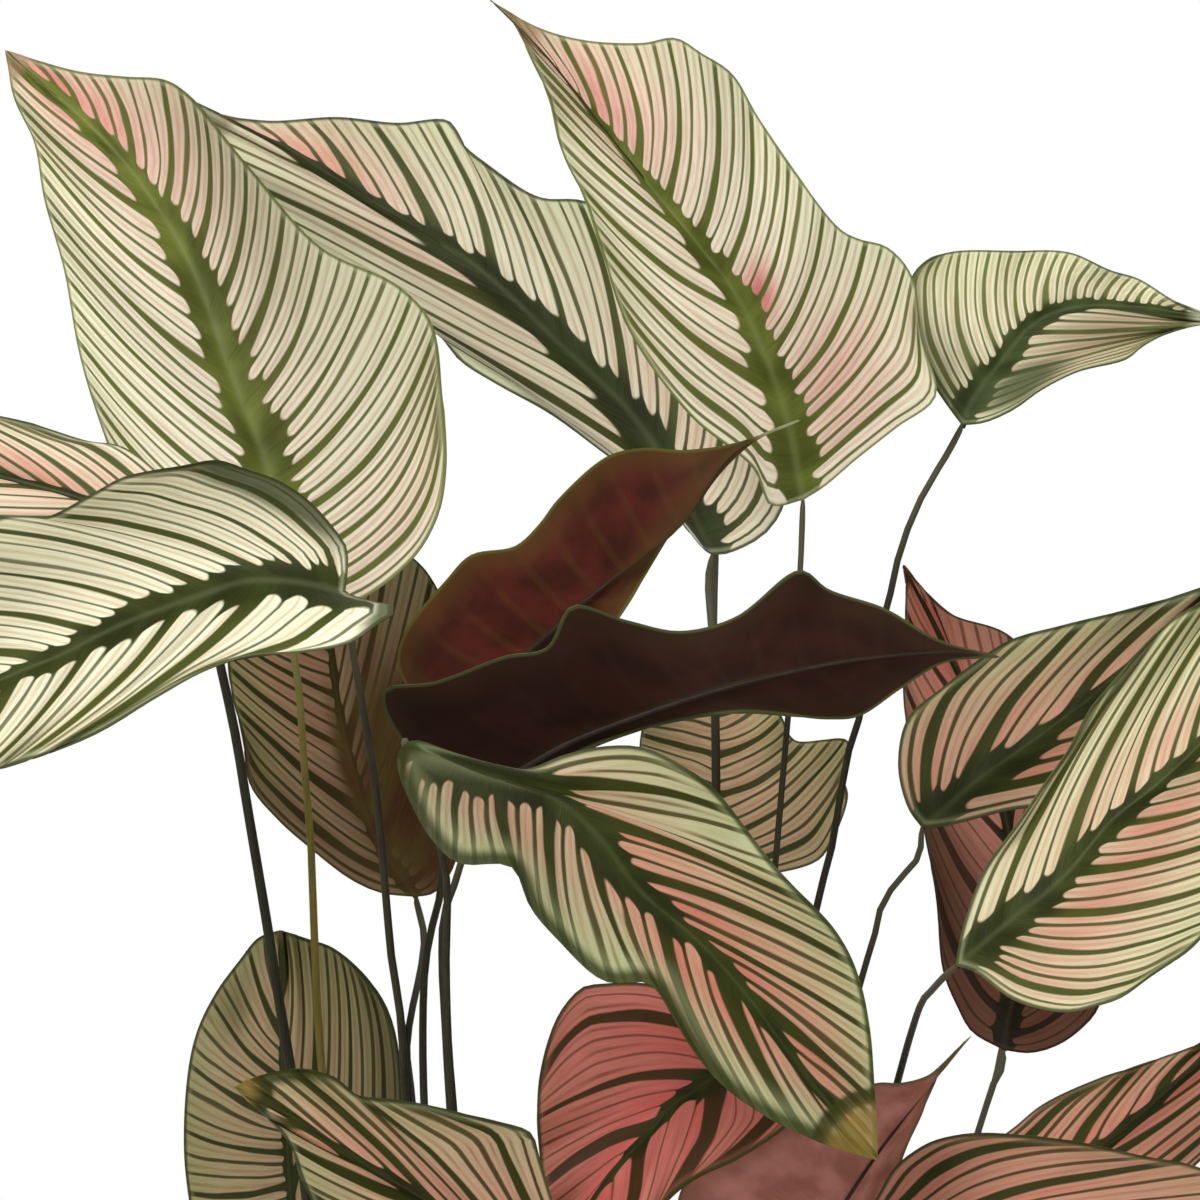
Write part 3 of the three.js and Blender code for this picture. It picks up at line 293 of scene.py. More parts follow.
        "band": 1.0, "rim": (1.5, 1.5), "spacing": (17, 17), "tipFrom": 0.94,
        "leftVeins": (0.67, 1.36, 12.92, 0.99), "rightVeins": (0.55, 1.56, 10.23, 0.6),
        "blush": [(0.5, 0, 1, 1, 0.75)], "shade": [(0.3, 0, 0.4, 2, 0.25), (0.5, 0, 9, 9, 0.2)],
        "green": [(0.55, 1.0, 0.5, 0.12, 0.9)],
        "rib": [(560, 1290, 8), (500, 1248, 0), (420, 1197, -6), (370, 1168, -6), (325, 1136, -4),
            (234, 1087, 6)],
        "left": [(540, 1325, 4), (470, 1330, -4), (400, 1290, -6), (330, 1230, -4), (302, 1180, -2),
            (290, 1145, 0), (268, 1118, 4), (247, 1100, 6)],
        "right": [(580, 1262, 10), (556, 1210, 9), (540, 1160, 8), (531, 1133, 7), (500, 1122, 5),
            (470, 1115, 4), (430, 1106, 4), (400, 1100, 2), (355, 1094, 2), (335, 1078, 2),
            (305, 1069, 3), (270, 1073, 5), (250, 1079, 6)],
        "stalk": [(580, 1330, 16), (592, 1420, 30), (580, 1600, 54)],
    },
    "coralCentre": {
        "depth": -70, "lean": (-0.2, -0.15), "foot": (8, -20), "thick": 1.8, "surface": "coral",
        "band": 0.8, "rim": (1.6, 1.6), "spacing": (21, 21),
        "leftVeins": (0.48, 2.07, 6.97, 0.74), "rightVeins": (0.57, 1.46, 21.28, 0.97),
        "blush": [(0.5, 0, 1, 1, 1)], "shade": [(0.5, 0.8, 0.5, 0.6, 0.3), (0.5, 0, 9, 9, 0.08)],
        "rib": [(745, 1052, 10), (702, 1085, 4), (671, 1106, 0), (650, 1132, -3), (614, 1168, -5),
            (588, 1205, -5), (572, 1290, 2)],
        "left": [(780, 1062, 8), (808, 1100, 6), (786, 1127, 4), (740, 1158, 3), (687, 1184, 2),
            (655, 1215, 0), (625, 1262, 0), (595, 1298, 1)],
        "right": [(715, 1010, 10), (650, 984, 8), (600, 984, 7), (583, 987, 6), (560, 1012, 4),
            (543, 1058, 2), (537, 1110, 2), (539, 1150, 2), (547, 1215, 2), (558, 1262, 2)],
        "stalk": [(748, 1058, 24), (758, 1110, 32), (762, 1160, 34), (758, 1200, 36), (720, 1350, 44),
            (640, 1600, 50)],
    },
    "darkLow": {
        "depth": -35, "lean": (0.2, 0.35), "foot": (18, -24), "thick": 1.7, "under": True,
        "underTone": "mauve", "surface": "white", "band": 0.8, "spacing": (12.1, 12.1),
        "leftVeins": (0.15, 1.2, 12, 1), "rightVeins": (0.1, 1.2, 12, 1),
        "rib": [(780, 1310, 4), (830, 1225, -4), (885, 1142, -4), (945, 1068, 6), (972, 1035, 12)],
        "left": [(740, 1300, 8), (700, 1270, 8), (678, 1220, 8), (684, 1185, 6), (740, 1150, 4),
            (800, 1110, 2), (876, 1083, 2), (900, 1083, 2), (930, 1074, 6)],
        "right": [(820, 1310, -4), (868, 1260, -8), (893, 1190, -8), (907, 1146, -4), (921, 1116, 2),
            (941, 1070, 6)],
        "stalk": [(772, 1325, 10), (765, 1345, 10), (735, 1430, 10), (670, 1620, 12)],
    },
    "redRight": {
        "depth": 40, "lean": (-0.25, -0.22), "foot": (38, 16), "thick": 1.8, "surface": "rust",
        "band": 0.5, "spacing": (19, 19),
        "leftVeins": (0.39, 1.79, 14.18, 0.92), "rightVeins": (0.35, 1.88, 16.62, 0.95),
        "blush": [(0.75, 0, 0.35, 9, 1.0), (0.3, 0, 0.3, 9, 0.6)], "shade": [(0, 0, 0.45, 9, 0.9)],
        "plain": [(0.12, -0.6, 0.2, 0.7, 0.6), (0.05, 0.4, 0.1, 0.5, 0.5)],
        "rib": [(1003, 1050, 0), (1018, 960, 2), (1012, 850, 4), (975, 710, 4), (903, 565, -4)],
        "left": [(972, 1032, 2), (958, 1008, 4), (943, 970, 6), (937, 898, 8), (928, 850, 8),
            (905, 715, 6), (904, 640, 2), (906, 590, -2)],
        "right": [(1030, 1053, -2), (1056, 1046, -4), (1080, 1030, -4), (1100, 1004, -6),
            (1108, 900, -8), (1090, 780, -6), (1014, 639, -4), (952, 614, -4), (921, 586, -4)],
        "stalk": [(1003, 1066, -1), (995, 1080, -2), (985, 1110, -2), (978, 1132, -3), (940, 1250, -6),
            (830, 1500, -14)],
    },
    "right": {
        "depth": -22, "lean": (0.15, -0.28), "foot": (30, -4), "thick": 1.7, "surface": "blush",
        "band": 0.85, "rim": (1.6, 1.6), "spacing": (20, 20),
        "leftVeins": (0.37, 1.7, 14.23, 0.64), "rightVeins": (0.46, 2.05, 11.99, 0.89),
        "blush": [(0.5, 0, 1, 0.9, 0.8)], "shade": [(0.5, 0, 9, 9, 0.24)],
        "rib": [(922, 828, 2), (970, 786, -1), (1040, 736, -4), (1100, 690, -4), (1160, 640, -2),
            (1262, 560, 10)],
        "left": [(908, 808, 4), (898, 765, 8), (908, 718, 10), (940, 690, 10), (975, 662, 8),
            (1010, 640, 6), (1060, 626, 4), (1140, 606, 4), (1200, 588, 6)],
        "right": [(945, 826, 0), (1010, 810, -4), (1080, 800, -8), (1160, 760, -8), (1230, 680, -4)],
        "stalk": [(921, 838, 4), (919, 856, 7), (897, 882, 10), (882, 904, 13), (876, 930, 14),
            (864, 970, 16), (830, 1100, 20), (770, 1350, 24)],
    },
    "rightFront": {
        "depth": -130, "lean": (-0.15, -0.28), "foot": (42, -22), "thick": 1.8, "surface": "white",
        "band": 0.8, "rim": (1.5, 1.5), "spacing": (14.5, 14.5),
        "leftVeins": (0.61, 1.48, 16.85, 0.73), "rightVeins": (0.38, 1.54, 15.71, 0.9),
        "blush": [(0.3, 0.35, 0.35, 0.4, 0.9), (0.5, -0.2, 0.35, 0.3, 0.6), (0.7, 0.3, 0.3, 0.3, 0.5)],
        "shade": [(0.5, 0, 9, 9, 0.04)],
        "rib": [(956, 966, 10), (1000, 928, 2), (1060, 880, -2), (1110, 822, -4), (1160, 782, -4),
            (1215, 728, 0), (1290, 620, 16)],
        "left": [(958, 950, 10), (965, 920, 8), (984, 870, 6), (1016, 826, 2), (1040, 790, 2),
            (1068, 750, 4), (1092, 706, 4), (1120, 678, 4), (1144, 646, 4), (1184, 612, 6),
            (1245, 590, 12)],
        "right": [(975, 972, 8), (1008, 997, 6), (1040, 1009, 0), (1072, 1012, -4), (1096, 1006, -6),
            (1120, 998, -6), (1148, 978, -6), (1198, 942, -4), (1260, 840, 2), (1300, 730, 12)],
        "stalk": [(944, 977, 16), (932, 990, 34), (923, 1000, 46), (912, 1030, 70), (898, 1080, 96),
            (852, 1250, 120), (760, 1480, 122)],
    },
    "lowRightBack": {
        "depth": -48, "lean": (0.1, -0.35), "foot": (50, -6), "thick": 1.6, "surface": "rose",
        "band": 0.6, "spacing": (17, 17),
        "leftVeins": (0.45, 1.22, 17.12, 1.23), "rightVeins": (0.71, 2.16, 4.82, 0.59),
        "blush": [(0.5, 0, 1, 1, 1.0)],
        "rib": [(1000, 1228, 4), (1060, 1182, 0), (1126, 1126, -2), (1200, 1062, -2), (1330, 965, 8)],
        "left": [(985, 1190, 6), (1000, 1140, 6), (1016, 1126, 6), (1040, 1106, 4), (1080, 1086, 3),
            (1148, 1062, 2), (1198, 1044, 2), (1265, 1000, 4)],
        "right": [(1040, 1245, 0), (1110, 1230, -6), (1190, 1170, -8), (1280, 1070, -2)],
        "stalk": [(985, 1245, 6), (940, 1310, 12), (830, 1490, 24)],
    },
    "lowRightFront": {
        "depth": -122, "lean": (-0.1, -0.4), "foot": (32, -40), "thick": 1.7, "surface": "rose",
        "band": 0.8, "rim": (1.5, 1.5), "spacing": (20, 20),
        "leftVeins": (0.36, 1.98, 11.68, 0.69), "rightVeins": (0.5, 2.2, 8, 1),
        "blush": [(0.5, 0, 1, 1, 1.0)], "shade": [(0.5, 0, 9, 9, 0.27)],
        "green": [(0.3, -1.0, 0.4, 0.1, 0.5)],
        "rib": [(878, 1238, 10), (950, 1222, 0), (1050, 1222, -8), (1190, 1248, -8), (1390, 1330, 10)],
        "left": [(870, 1215, 12), (880, 1192, 14), (896, 1166, 14), (916, 1150, 12), (936, 1140, 12),
            (972, 1133, 10), (1024, 1135, 9), (1080, 1142, 8), (1144, 1156, 8), (1200, 1168, 8),
            (1310, 1230, 8)],
        "right": [(890, 1275, 6), (950, 1315, -6), (1060, 1340, -12), (1200, 1350, -12),
            (1310, 1345, -2)],
        "stalk": [(862, 1252, 18), (820, 1300, 30), (760, 1420, 50)],
    },
    "backLeft": {
        "depth": 140, "lean": (0, -0.15), "foot": (-18, 30), "thick": 1.8, "under": True,
        "surface": "white", "band": 0.8, "spacing": (14.1, 14.1),
        "shade": [(0.5, 0, 9, 9, 0.03)],
        "rib": [(340, 612, 0), (300, 480, -4), (250, 350, -4), (205, 235, 0), (182, 185, 8)],
        "left": [(300, 604, 4), (215, 520, 10), (160, 420, 12), (130, 320, 10), (150, 235, 10)],
        "right": [(385, 585, 4), (412, 500, 8), (392, 400, 10), (330, 300, 10), (250, 212, 10)],
        "stalk": [(352, 646, -6), (362, 704, -12), (376, 790, -18), (386, 898, -26), (392, 962, -32),
            (400, 1012, -36), (410, 1080, -40), (430, 1300, -60)],
    },
    "backCentre": {
        "depth": 130, "lean": (0.1, -0.2), "foot": (4, 34), "thick": 1.8, "under": True,
        "surface": "lime", "band": 0.9, "spacing": (12.7, 12.7),
        "rib": [(716, 540, 0), (700, 450, -4), (665, 330, -4), (628, 230, 2), (612, 185, 8)],
        "left": [(692, 535, 4), (645, 450, 8), (592, 350, 10), (575, 285, 10), (585, 225, 10)],
        "right": [(745, 522, 4), (790, 440, 8), (800, 340, 10), (760, 240, 10), (670, 165, 10)],
        "stalk": [(714, 640, -8), (716, 790, -20), (712, 1000, -36), (680, 1350, -66)],
    },
    "backRight": {
        "depth": 125, "lean": (0.1, -0.2), "foot": (22, 28), "thick": 1.8, "under": True,
        "surface": "white", "band": 0.8, "spacing": (12.9, 12.9),
        "shade": [(0.5, 0, 9, 9, 0.03)],
        "rib": [(1004, 1036, 0), (1030, 950, -4), (1070, 830, -4), (1110, 740, 2), (1140, 680, 8)],
        "left": [(982, 1014, 4), (968, 940, 8), (1000, 840, 10), (1045, 745, 10), (1090, 690, 10)],
        "right": [(1036, 1030, 4), (1086, 985, 8), (1130, 900, 10), (1165, 800, 10), (1168, 720, 10)],
        "stalk": [(995, 1080, -4), (985, 1110, -6), (978, 1132, -8), (944, 1270, -32),
            (810, 1530, -58)],
    },
    "lowBackLeft": {
        "depth": 110, "lean": (0.3, -0.3), "foot": (-8, 40), "thick": 1.6, "under": True,
        "surface": "blush", "band": 0.75, "spacing": (11.3, 11.3),
        "blush": [(0.5, 0, 1, 1, 0.4)], "shade": [(0.5, 0, 9, 9, 0.07)],
        "rib": [(480, 1450, 0), (425, 1385, 10), (340, 1335, 14), (240, 1305, 6)],
        "left": [(462, 1472, 4), (390, 1452, 0), (300, 1410, -6), (252, 1350, -4)],
        "right": [(492, 1405, 6), (452, 1325, 12), (370, 1262, 14), (290, 1258, 8)],
        "stalk": [(486, 1470, -10), (494, 1510, -14), (515, 1620, -30)],
    },
    "lowBackRight": {
        "depth": 105, "lean": (-0.3, -0.3), "foot": (12, 42), "thick": 1.6, "under": True,
        "surface": "white", "band": 0.8, "spacing": (11.5, 11.5),
        "blush": [(0.5, 0, 1, 1, 0.2)], "shade": [(0.5, 0, 9, 9, 0.07)],
        "rib": [(760, 1440, 0), (822, 1372, 10), (905, 1312, 14), (1010, 1285, 6)],
        "left": [(742, 1400, 6), (780, 1320, 12), (860, 1262, 14), (945, 1248, 8)],
        "right": [(792, 1455, 4), (862, 1432, 0), (942, 1385, -6), (992, 1325, -4)],
        "stalk": [(740, 1490, -10), (690, 1610, -28)],
    },
    "lowFront": {
        "depth": -104, "lean": (0.2, -0.35), "foot": (10, -50), "thick": 1.5, "surface": "blush",
        "band": 0.75, "spacing": (11.3, 11.3),
        "blush": [(0.5, 0, 0.5, 0.6, 0.6)], "shade": [(0.5, 0, 9, 9, 0.03)],
        "rib": [(612, 1440, 8), (575, 1488, 0), (525, 1545, -4), (462, 1612, 2)],
        "left": [(630, 1470, 8), (612, 1535, 0), (560, 1595, -6), (505, 1618, -4)],
        "right": [(590, 1418, 10), (530, 1438, 8), (482, 1492, 4), (458, 1560, 4)],
        "stalk": [(616, 1450, 16), (628, 1530, 24), (610, 1690, 28)],
    },
    "lowRightSide": {
        "depth": 10, "lean": (-0.35, -0.2), "foot": (40, 8), "thick": 1.5, "surface": "white",
        "band": 0.8, "spacing": (11.3, 11.3),
        "blush": [(0.4, 0, 0.4, 0.4, 0.4)], "shade": [(0.5, 0, 9, 9, 0.03)],
        "rib": [(800, 1480, 8), (865, 1500, 0), (935, 1545, -4), (1010, 1615, 2)],
        "left": [(812, 1450, 10), (880, 1448, 8), (952, 1490, 4), (1005, 1560, 4)],
        "right": [(795, 1510, 6), (845, 1555, -4), (915, 1600, -6), (970, 1622, -2)],
        "stalk": [(788, 1484, 14), (750, 1540, 16), (690, 1700, 6)],
    },
    "lowLeftSide": {
        "depth": 30, "lean": (0.4, -0.15), "foot": (-38, 22), "thick": 1.5, "surface": "white",
        "band": 0.8, "spacing": (11.3, 11.3),
        "blush": [(0.4, 0, 0.4, 0.4, 0.3)], "shade": [(0.5, 0, 9, 9, 0.03)],
        "rib": [(350, 1482, 8), (290, 1472, 0), (210, 1492, -4), (112, 1556, 2)],
        "left": [(352, 1512, 6), (300, 1548, -4), (220, 1570, -6), (150, 1582, -2)],
        "right": [(342, 1450, 10), (285, 1418, 8), (205, 1425, 4), (135, 1480, 4)],
        "stalk": [(362, 1488, 14), (400, 1540, 16), (450, 1700, 4)],
    },
}
leaves = {name: {**usualLeaf, **leaf} for name, leaf in leaves.items()}

# Points and lines, in millimetres

def place(picks, depth):  # picks in the front view as points of the plant
    across, down, behind = np.array(picks, float).T
    y = depth + behind
    scale = view["mmPerPick"] * (view["distance"] + y) / view["distance"]
    x = view["centreX"] + (across - view["middle"]) * scale
    z = view["centreZ"] + (view["middle"] - down) * scale
    return np.stack([x, y, z], -1)


def bladePlace(leaf, picks):  # the same, tipped with the blade about its base
    picks = np.array(picks, float)
    away = picks - np.array(leaf["rib"][0])
    picks[:, 2] += (away[:, :2] @ leaf["lean"]) * view["mmPerPick"]
    return place(picks, leaf["depth"])


def smoothLine(points, samples=40):  # a centripetal spline, read by its share of length
    ends = [2 * points[0] - points[1]], points, [2 * points[-1] - points[-2]]
    knots = np.concatenate(ends)
    t = np.linspace(0, 1, samples, endpoint=False)[:, None]
    spans = []
    for p0, p1, p2, p3 in zip(knots, knots[1:], knots[2:], knots[3:]):
        d0, d1, d2 = (np.linalg.norm(step) ** 0.5 for step in (p1 - p0, p2 - p1, p3 - p2))
        m1 = d1 * ((p1 - p0) / d0 - (p2 - p0) / (d0 + d1)) + p2 - p1
        m2 = d1 * ((p3 - p2) / d2 - (p3 - p1) / (d1 + d2)) + p2 - p1
        square = 3 * (p2 - p1) - 2 * m1 - m2
        cube = 2 * (p1 - p2) + m1 + m2
        spans.append(p1 + m1 * t + square * t**2 + cube * t**3)
    dots = np.concatenate([*spans, points[-1:]])
    run = np.concatenate([[0], np.cumsum(np.linalg.norm(np.diff(dots, axis=0), axis=1))])
    return {"dots": dots, "shares": run / run[-1], "length": run[-1]}


def pointAt(line, share):
    return np.stack([np.interp(share, line["shares"], line["dots"][:, axis]) for axis in range(3)], -1)


def tangentAt(line, share):
    step = pointAt(line, np.minimum(share + 0.004, 1)) - pointAt(line, np.maximum(share - 0.004, 0))
    return step / np.linalg.norm(step, axis=-1, keepdims=True)


def distanceTo(points, line):  # every fourth dot of the line is close enough
    flat = points.reshape(-1, 3)
    nearest = np.full(len(flat), 1e9)
    dots = np.concatenate([line["dots"][:-1:4], line["dots"][-1:]])
    for start, end in zip(dots, dots[1:]):
        run = end - start
        share = np.clip((flat - start) @ run / (run @ run), 0, 1)
        gap = flat - start - share[:, None] * run
        nearest = np.minimum(nearest, (gap**2).sum(1))
    return np.sqrt(nearest).reshape(points.shape[:-1])


# The sheet of a blade

def bladeLines(leaf):
    rib = bladePlace(leaf, leaf["rib"])
    lines = {"rib": smoothLine(rib)}
    for side in ("left", "right"):
        lines[side] = smoothLine(np.concatenate([rib[:1], bladePlace(leaf, leaf[side]), rib[-1:]]))
    return lines


def veinPoints(rib, edge, veins, along, out):
    first, follow, turn, late = veins
    end = pointAt(edge, 1 - (1 - first) * (1 - along**late) ** follow)
    start = pointAt(rib, along)
    forward = tangentAt(rib, along)
    reach = end - start
    size = np.linalg.norm(reach, axis=-1, keepdims=True)
    ahead = (reach * forward).sum(-1, keepdims=True)
    sideways = reach - ahead * forward
    aside = np.linalg.norm(sideways, axis=-1, keepdims=True)
    sideways = sideways / np.maximum(aside, 1e-9)
    angle = np.arctan2(aside, ahead) + math.radians(turn)
    heading = np.cos(angle) * forward + np.sin(angle) * sideways
    bend = start + bladeShape["veinBend"] * size * heading
    out = out[..., None]
    return (1 - out) ** 2 * start + 2 * out * (1 - out) * bend + out**2 * end


def bladeSheet(leaf):  # points [row, column] with their shares along the rib and out from it
    lines = bladeLines(leaf)
    outs = np.array(bladeShape["outs"])
    signed = np.concatenate([-outs[:0:-1], outs])
    rows = np.linspace(0, 1, bladeShape["rows"] + 1)
    along, across = np.meshgrid(rows, signed, indexing="ij")
    out = np.abs(across)
    points = np.zeros((*along.shape, 3))
    for side, edge, veins in ((-1, "left", leaf["leftVeins"]), (1, "right", leaf["rightVeins"])):
        mine = across * side >= 0
        fan = veinPoints(lines["rib"], lines[edge], veins, along[mine], out[mine])
        flat = veinPoints(lines["rib"], lines[edge], veins, 0 * along[mine], out[mine])
        pull = (np.maximum(0, 1 - along[mine] / bladeShape["baseShare"]) ** 2)[:, None]
        points[mine] = fan + pull * (pointAt(lines[edge], veins[0] * out[mine]) - flat)
    return lines, along, across, points


def sightLines(points):  # from the front view's eye through each point
    eye = np.array([view["centreX"], -view["distance"], view["centreZ"]])
    away = points - eye
    return away / np.linalg.norm(away, axis=-1, keepdims=True)


# main veins counted from the base on each side, and how wide the way to the next one is
def lanesOf(along, across, points, spacing):
    rowStep = np.gradient(points, axis=0)
    columnStep = np.gradient(points, axis=1)
    size = np.maximum(np.linalg.norm(columnStep, axis=-1, keepdims=True), 1e-9)
    beside = rowStep - (rowStep * columnStep).sum(-1, keepdims=True) * columnStep / size**2
    width = np.linalg.norm(beside, axis=-1)
    lanes = []
    wide = np.zeros(along.shape)
    for side, apart in zip((-1, 1), spacing):
        mine = across[0] * side > 0
        level = mine & (np.abs(across[0]) > 0.2) & (np.abs(across[0]) < 0.5)  # where they are counted
        steps = width[:, level].mean(1) / apart
        lane = np.concatenate([[0], np.cumsum((steps[1:] + steps[:-1]) / 2)])[:, None]
        wide += (mine + 0.5 * (across == 0)) * width / np.maximum(np.gradient(lane, axis=0), 1e-4)
        lanes.append(np.broadcast_to(lane, along.shape))
    return *lanes, np.clip(wide, 1, 60)


def sheetNormals(points):  # towards the front view for a blade's rows and columns
    rowStep = np.gradient(points, axis=0)
    columnStep = np.gradient(points, axis=1)
    normals = np.cross(columnStep, rowStep)
    size = np.linalg.norm(normals, axis=-1, keepdims=True)
    normals = np.where(size > 1e-6, normals / np.maximum(size, 1e-9), 0)
    normals[-1] = normals[-2].mean(0) / np.linalg.norm(normals[-2].mean(0))
    return normals


# Modelling helpers

def pickOnly(piece):
    bpy.ops.object.select_all(action="DESELECT")
    piece.select_set(True)
    bpy.context.view_layer.objects.active = piece


def applyModifier(piece, kind, **settings):
    pickOnly(piece)
    modifier = piece.modifiers.new(kind.title(), kind)
    for name, value in settings.items():
        setattr(modifier, name, value)
    bpy.ops.object.modifier_apply(modifier=modifier.name)


def mergeDoubles(piece):
    pickOnly(piece)
    bpy.ops.object.mode_set(mode="EDIT")
    bpy.ops.mesh.select_all(action="SELECT")
    bpy.ops.mesh.remove_doubles(threshold=1e-7)
    bpy.ops.object.mode_set(mode="OBJECT")


def smoothShade(piece, degrees):
    pickOnly(piece)
    bpy.ops.object.shade_smooth_by_angle(angle=math.radians(degrees))


def addTube(name, dots, radii, sides, material):  # dots in millimetres
    bpy.ops.curve.primitive_nurbs_path_add(location=(0, 0, 0))
    tube = bpy.context.object
    tube.name = name
    curve = tube.data
    curve.splines.clear()
    spline = curve.splines.new("POLY")
    spline.points.add(len(dots) - 1)
    for point, dot, radius in zip(spline.points, dots, radii):
        point.co = (*(dot * mm), 1)
        point.radius = radius * mm
    curve.dimensions = "3D"
    curve.bevel_depth = 1
    curve.bevel_resolution = max(0, sides // 2 - 2)
    curve.use_fill_caps = True
    pickOnly(tube)
    bpy.ops.object.convert(target="MESH")
    tube = bpy.context.object
    tube.data.materials.clear()
    tube.data.materials.append(material)
    return tube


def storeOnPoints(piece, name, values):  # three numbers kept on every point
    layer = piece.data.attributes.new(name, "FLOAT_VECTOR", "POINT")
    layer.data.foreach_set("vector", np.ascontiguousarray(values, np.float32).ravel())


# Blades

def bladeWave(leaf, along, across):
    out = np.abs(across)
    begins = 0.31 * leaf["depth"] / 10, 0.35 * (across < 0)  # so that no two edges wave alike
    turns = 2 * math.pi * (bladeShape["waveTurns"] * along + begins[0] + begins[1])
    fade = np.sin(math.pi * np.minimum(1, along + 0.04)) ** 0.5
    return bladeShape["wave"] * out**2 * fade * np.sin(turns)


def spotsOf(spots, along, across):
    amount = np.zeros(along.shape)
    for atAlong, atAcross, reachAlong, reachAcross, strength in spots:
        far = ((along - atAlong) / reachAlong) ** 2 + ((across - atAcross) / reachAcross) ** 2
        amount = np.maximum(amount, strength * np.exp(-far))
    return amount


def thicken(blade, points, under):  # thinner where a sharp fold brings the halves together
    middle = points.shape[1] // 2
    across = np.linalg.norm(points[:, middle:] - points[:, middle::-1], axis=-1)
    across[:, :2] = across[:, 2:3]
    share = np.clip(across / bladeShape["fullAcross"], bladeShape["leastShare"], 1)
    share = np.concatenate([share[:, :0:-1], share], 1).ravel()
    group = blade.vertex_groups.new(name="thickness")
    at = np.array([vertex.co for vertex in blade.data.vertices]) / mm
    flat = points.reshape(-1, 3)
    order = KDTree(len(flat))
    for index, point in enumerate(flat):
        order.insert(point, index)
    order.balance()
    for index, spot in enumerate(at):
        group.add([index], float(share[order.find(spot)[1]]), "REPLACE")
    applyModifier(
        blade, "SOLIDIFY", thickness=bladeShape["thickness"] * mm, offset=0, vertex_group="thickness",
        material_offset=1, material_offset_rim=1 if under else 0,
    )
    blade.vertex_groups.clear()


def bendGrid(name, points):  # a flat grid bent to rows and columns of points, and which dot is which
    rows, columns = points.shape[:2]
    bpy.ops.mesh.primitive_grid_add(x_subdivisions=columns - 1, y_subdivisions=rows - 1, size=2)
    sheet = bpy.context.object
    sheet.name = name
    at = np.empty(len(sheet.data.vertices) * 3, np.float32)
    sheet.data.vertices.foreach_get("co", at)
    at = (at.reshape(-1, 3) + 1) / 2
    column = np.rint(at[:, 0] * (columns - 1)).astype(int)
    row = np.rint(at[:, 1] * (rows - 1)).astype(int)
    sheet.data.vertices.foreach_set("co", (points[row, column] * mm).astype(np.float32).ravel())
    return sheet, (row, column)


def addRib(name, leaf, spine, normals, shares, upper, material):  # raised along the underside
    middle = normals.shape[1] // 2
    radii = bladeShape["ribRadius"] * (1 - bladeShape["ribTaper"] * shares) * leaf["thick"]
    radii = radii / bladeShape["usualThick"]
    beside = (-6, -4, -2, 2, 4, 6)  # columns that show how sharp the fold is
    facing = [(normals[:, middle] * normals[:, middle + step]).sum(-1) for step in beside]
    level = np.clip(np.min(facing, axis=0), 0, 1)
    tooSharp = np.flatnonzero((level < bladeShape["ribLevel"]) & (shares > 0.3))
    last = min([len(shares) - 2, *tooSharp])  # it ends where the fold leaves no room for it
    radii = radii * np.clip((last - np.arange(len(shares))) / 12, 0.15, 1)
    sunk = upper * ((radii + 0.15) / np.clip(level, 0.5, 1))[:, None] * normals[:, middle]
    return addTube(name, (spine - sunk)[:last], radii[:last], 8, material)


def addBlade(name, leaf, front, back, ribMaterial):
    lines, along, across, flat = bladeSheet(leaf)
    ribAway = distanceTo(flat, lines["rib"])
    edgeAway = np.minimum(distanceTo(flat, lines["left"]), distanceTo(flat, lines["right"]))
    upper = -1 if leaf["under"] else 1  # which way the upper side looks, against the front view

    # main veins and rib lie a little deep, and the edges wave
    leftLane, rightLane, laneWidth = lanesOf(along, across, flat, leaf["spacing"])
    lane = np.where(across < 0, leftLane, rightLane)
    toVein = np.abs(lane % 1 - 0.5) * laneWidth
    normals = sheetNormals(flat)
    pleat, channel = (
        bladeShape[key] * np.exp(-((away / bladeShape["grooveWidth"]) ** 2))
        for key, away in (("pleat", toVein), ("channel", ribAway))
    )
    edgeFade, ribFade = bladeShape["veinFade"]
    fade = np.clip(edgeAway / edgeFade, 0, 1) * np.clip(ribAway / ribFade, 0, 1)
    depth = pleat * fade + channel * (1 - 0.8 * along) * np.clip(along * 12, 0, 1)
    waved = flat - bladeWave(leaf, along, across)[..., None] * sightLines(flat)
    points = waved - (upper * depth)[..., None] * normals

    # the tip has dried, with a green seam before it on the blush leaves
    length = lines["rib"]["length"]
    middle = along.shape[1] // 2
    tipAway = np.linalg.norm(flat - flat[-1, middle], axis=-1)
    dried = (1 - leaf["tipFrom"]) * length
    tipped = np.clip((dried - tipAway) / bladeShape["driedSoft"] + 0.5, 0, 1)
    blush, shade, plain, green = (
        spotsOf(leaf[key], along, across) for key in ("blush", "shade", "plain", "green")
    )
    if leaf["surface"] == "blush":
        seamAt, seamWidth = bladeShape["seam"]
        green = np.maximum(green, np.exp(-(((tipAway - dried - seamAt) / seamWidth) ** 2)))

    # a flat grid is bent to the sheet, keeps the places that its stripes follow, and is thickened
    blade, dots = bendGrid(name, points)
    width, taper = bladeShape["band"]
    band = leaf["band"] * length / bladeShape["bandLength"] * (width - taper * along)
    rim = np.where(across < 0, *leaf["rim"])
    for label, values in (
        ("leafPlace", (leftLane, rightLane, ribAway / band)),
        ("leafEdge", (edgeAway / rim, laneWidth, along)),
        ("leafTone", (blush, shade, across)),
        ("leafWear", (tipped, plain, green)),
    ):
        storeOnPoints(blade, label, np.stack(values, -1)[dots])
    for material in (front, back, ribMaterial):
        blade.data.materials.append(material)
    mergeDoubles(blade)
    thicken(blade, points, leaf["under"])

    rib = addRib(name + "_rib", leaf, points[:, middle], normals, along[:, middle], upper, ribMaterial)
    bpy.ops.object.select_all(action="DESELECT")
    rib.select_set(True)
    blade.select_set(True)
    bpy.context.view_layer.objects.active = blade
    bpy.ops.object.join()
    smoothShade(blade, 55)
    return blade


# Stalks

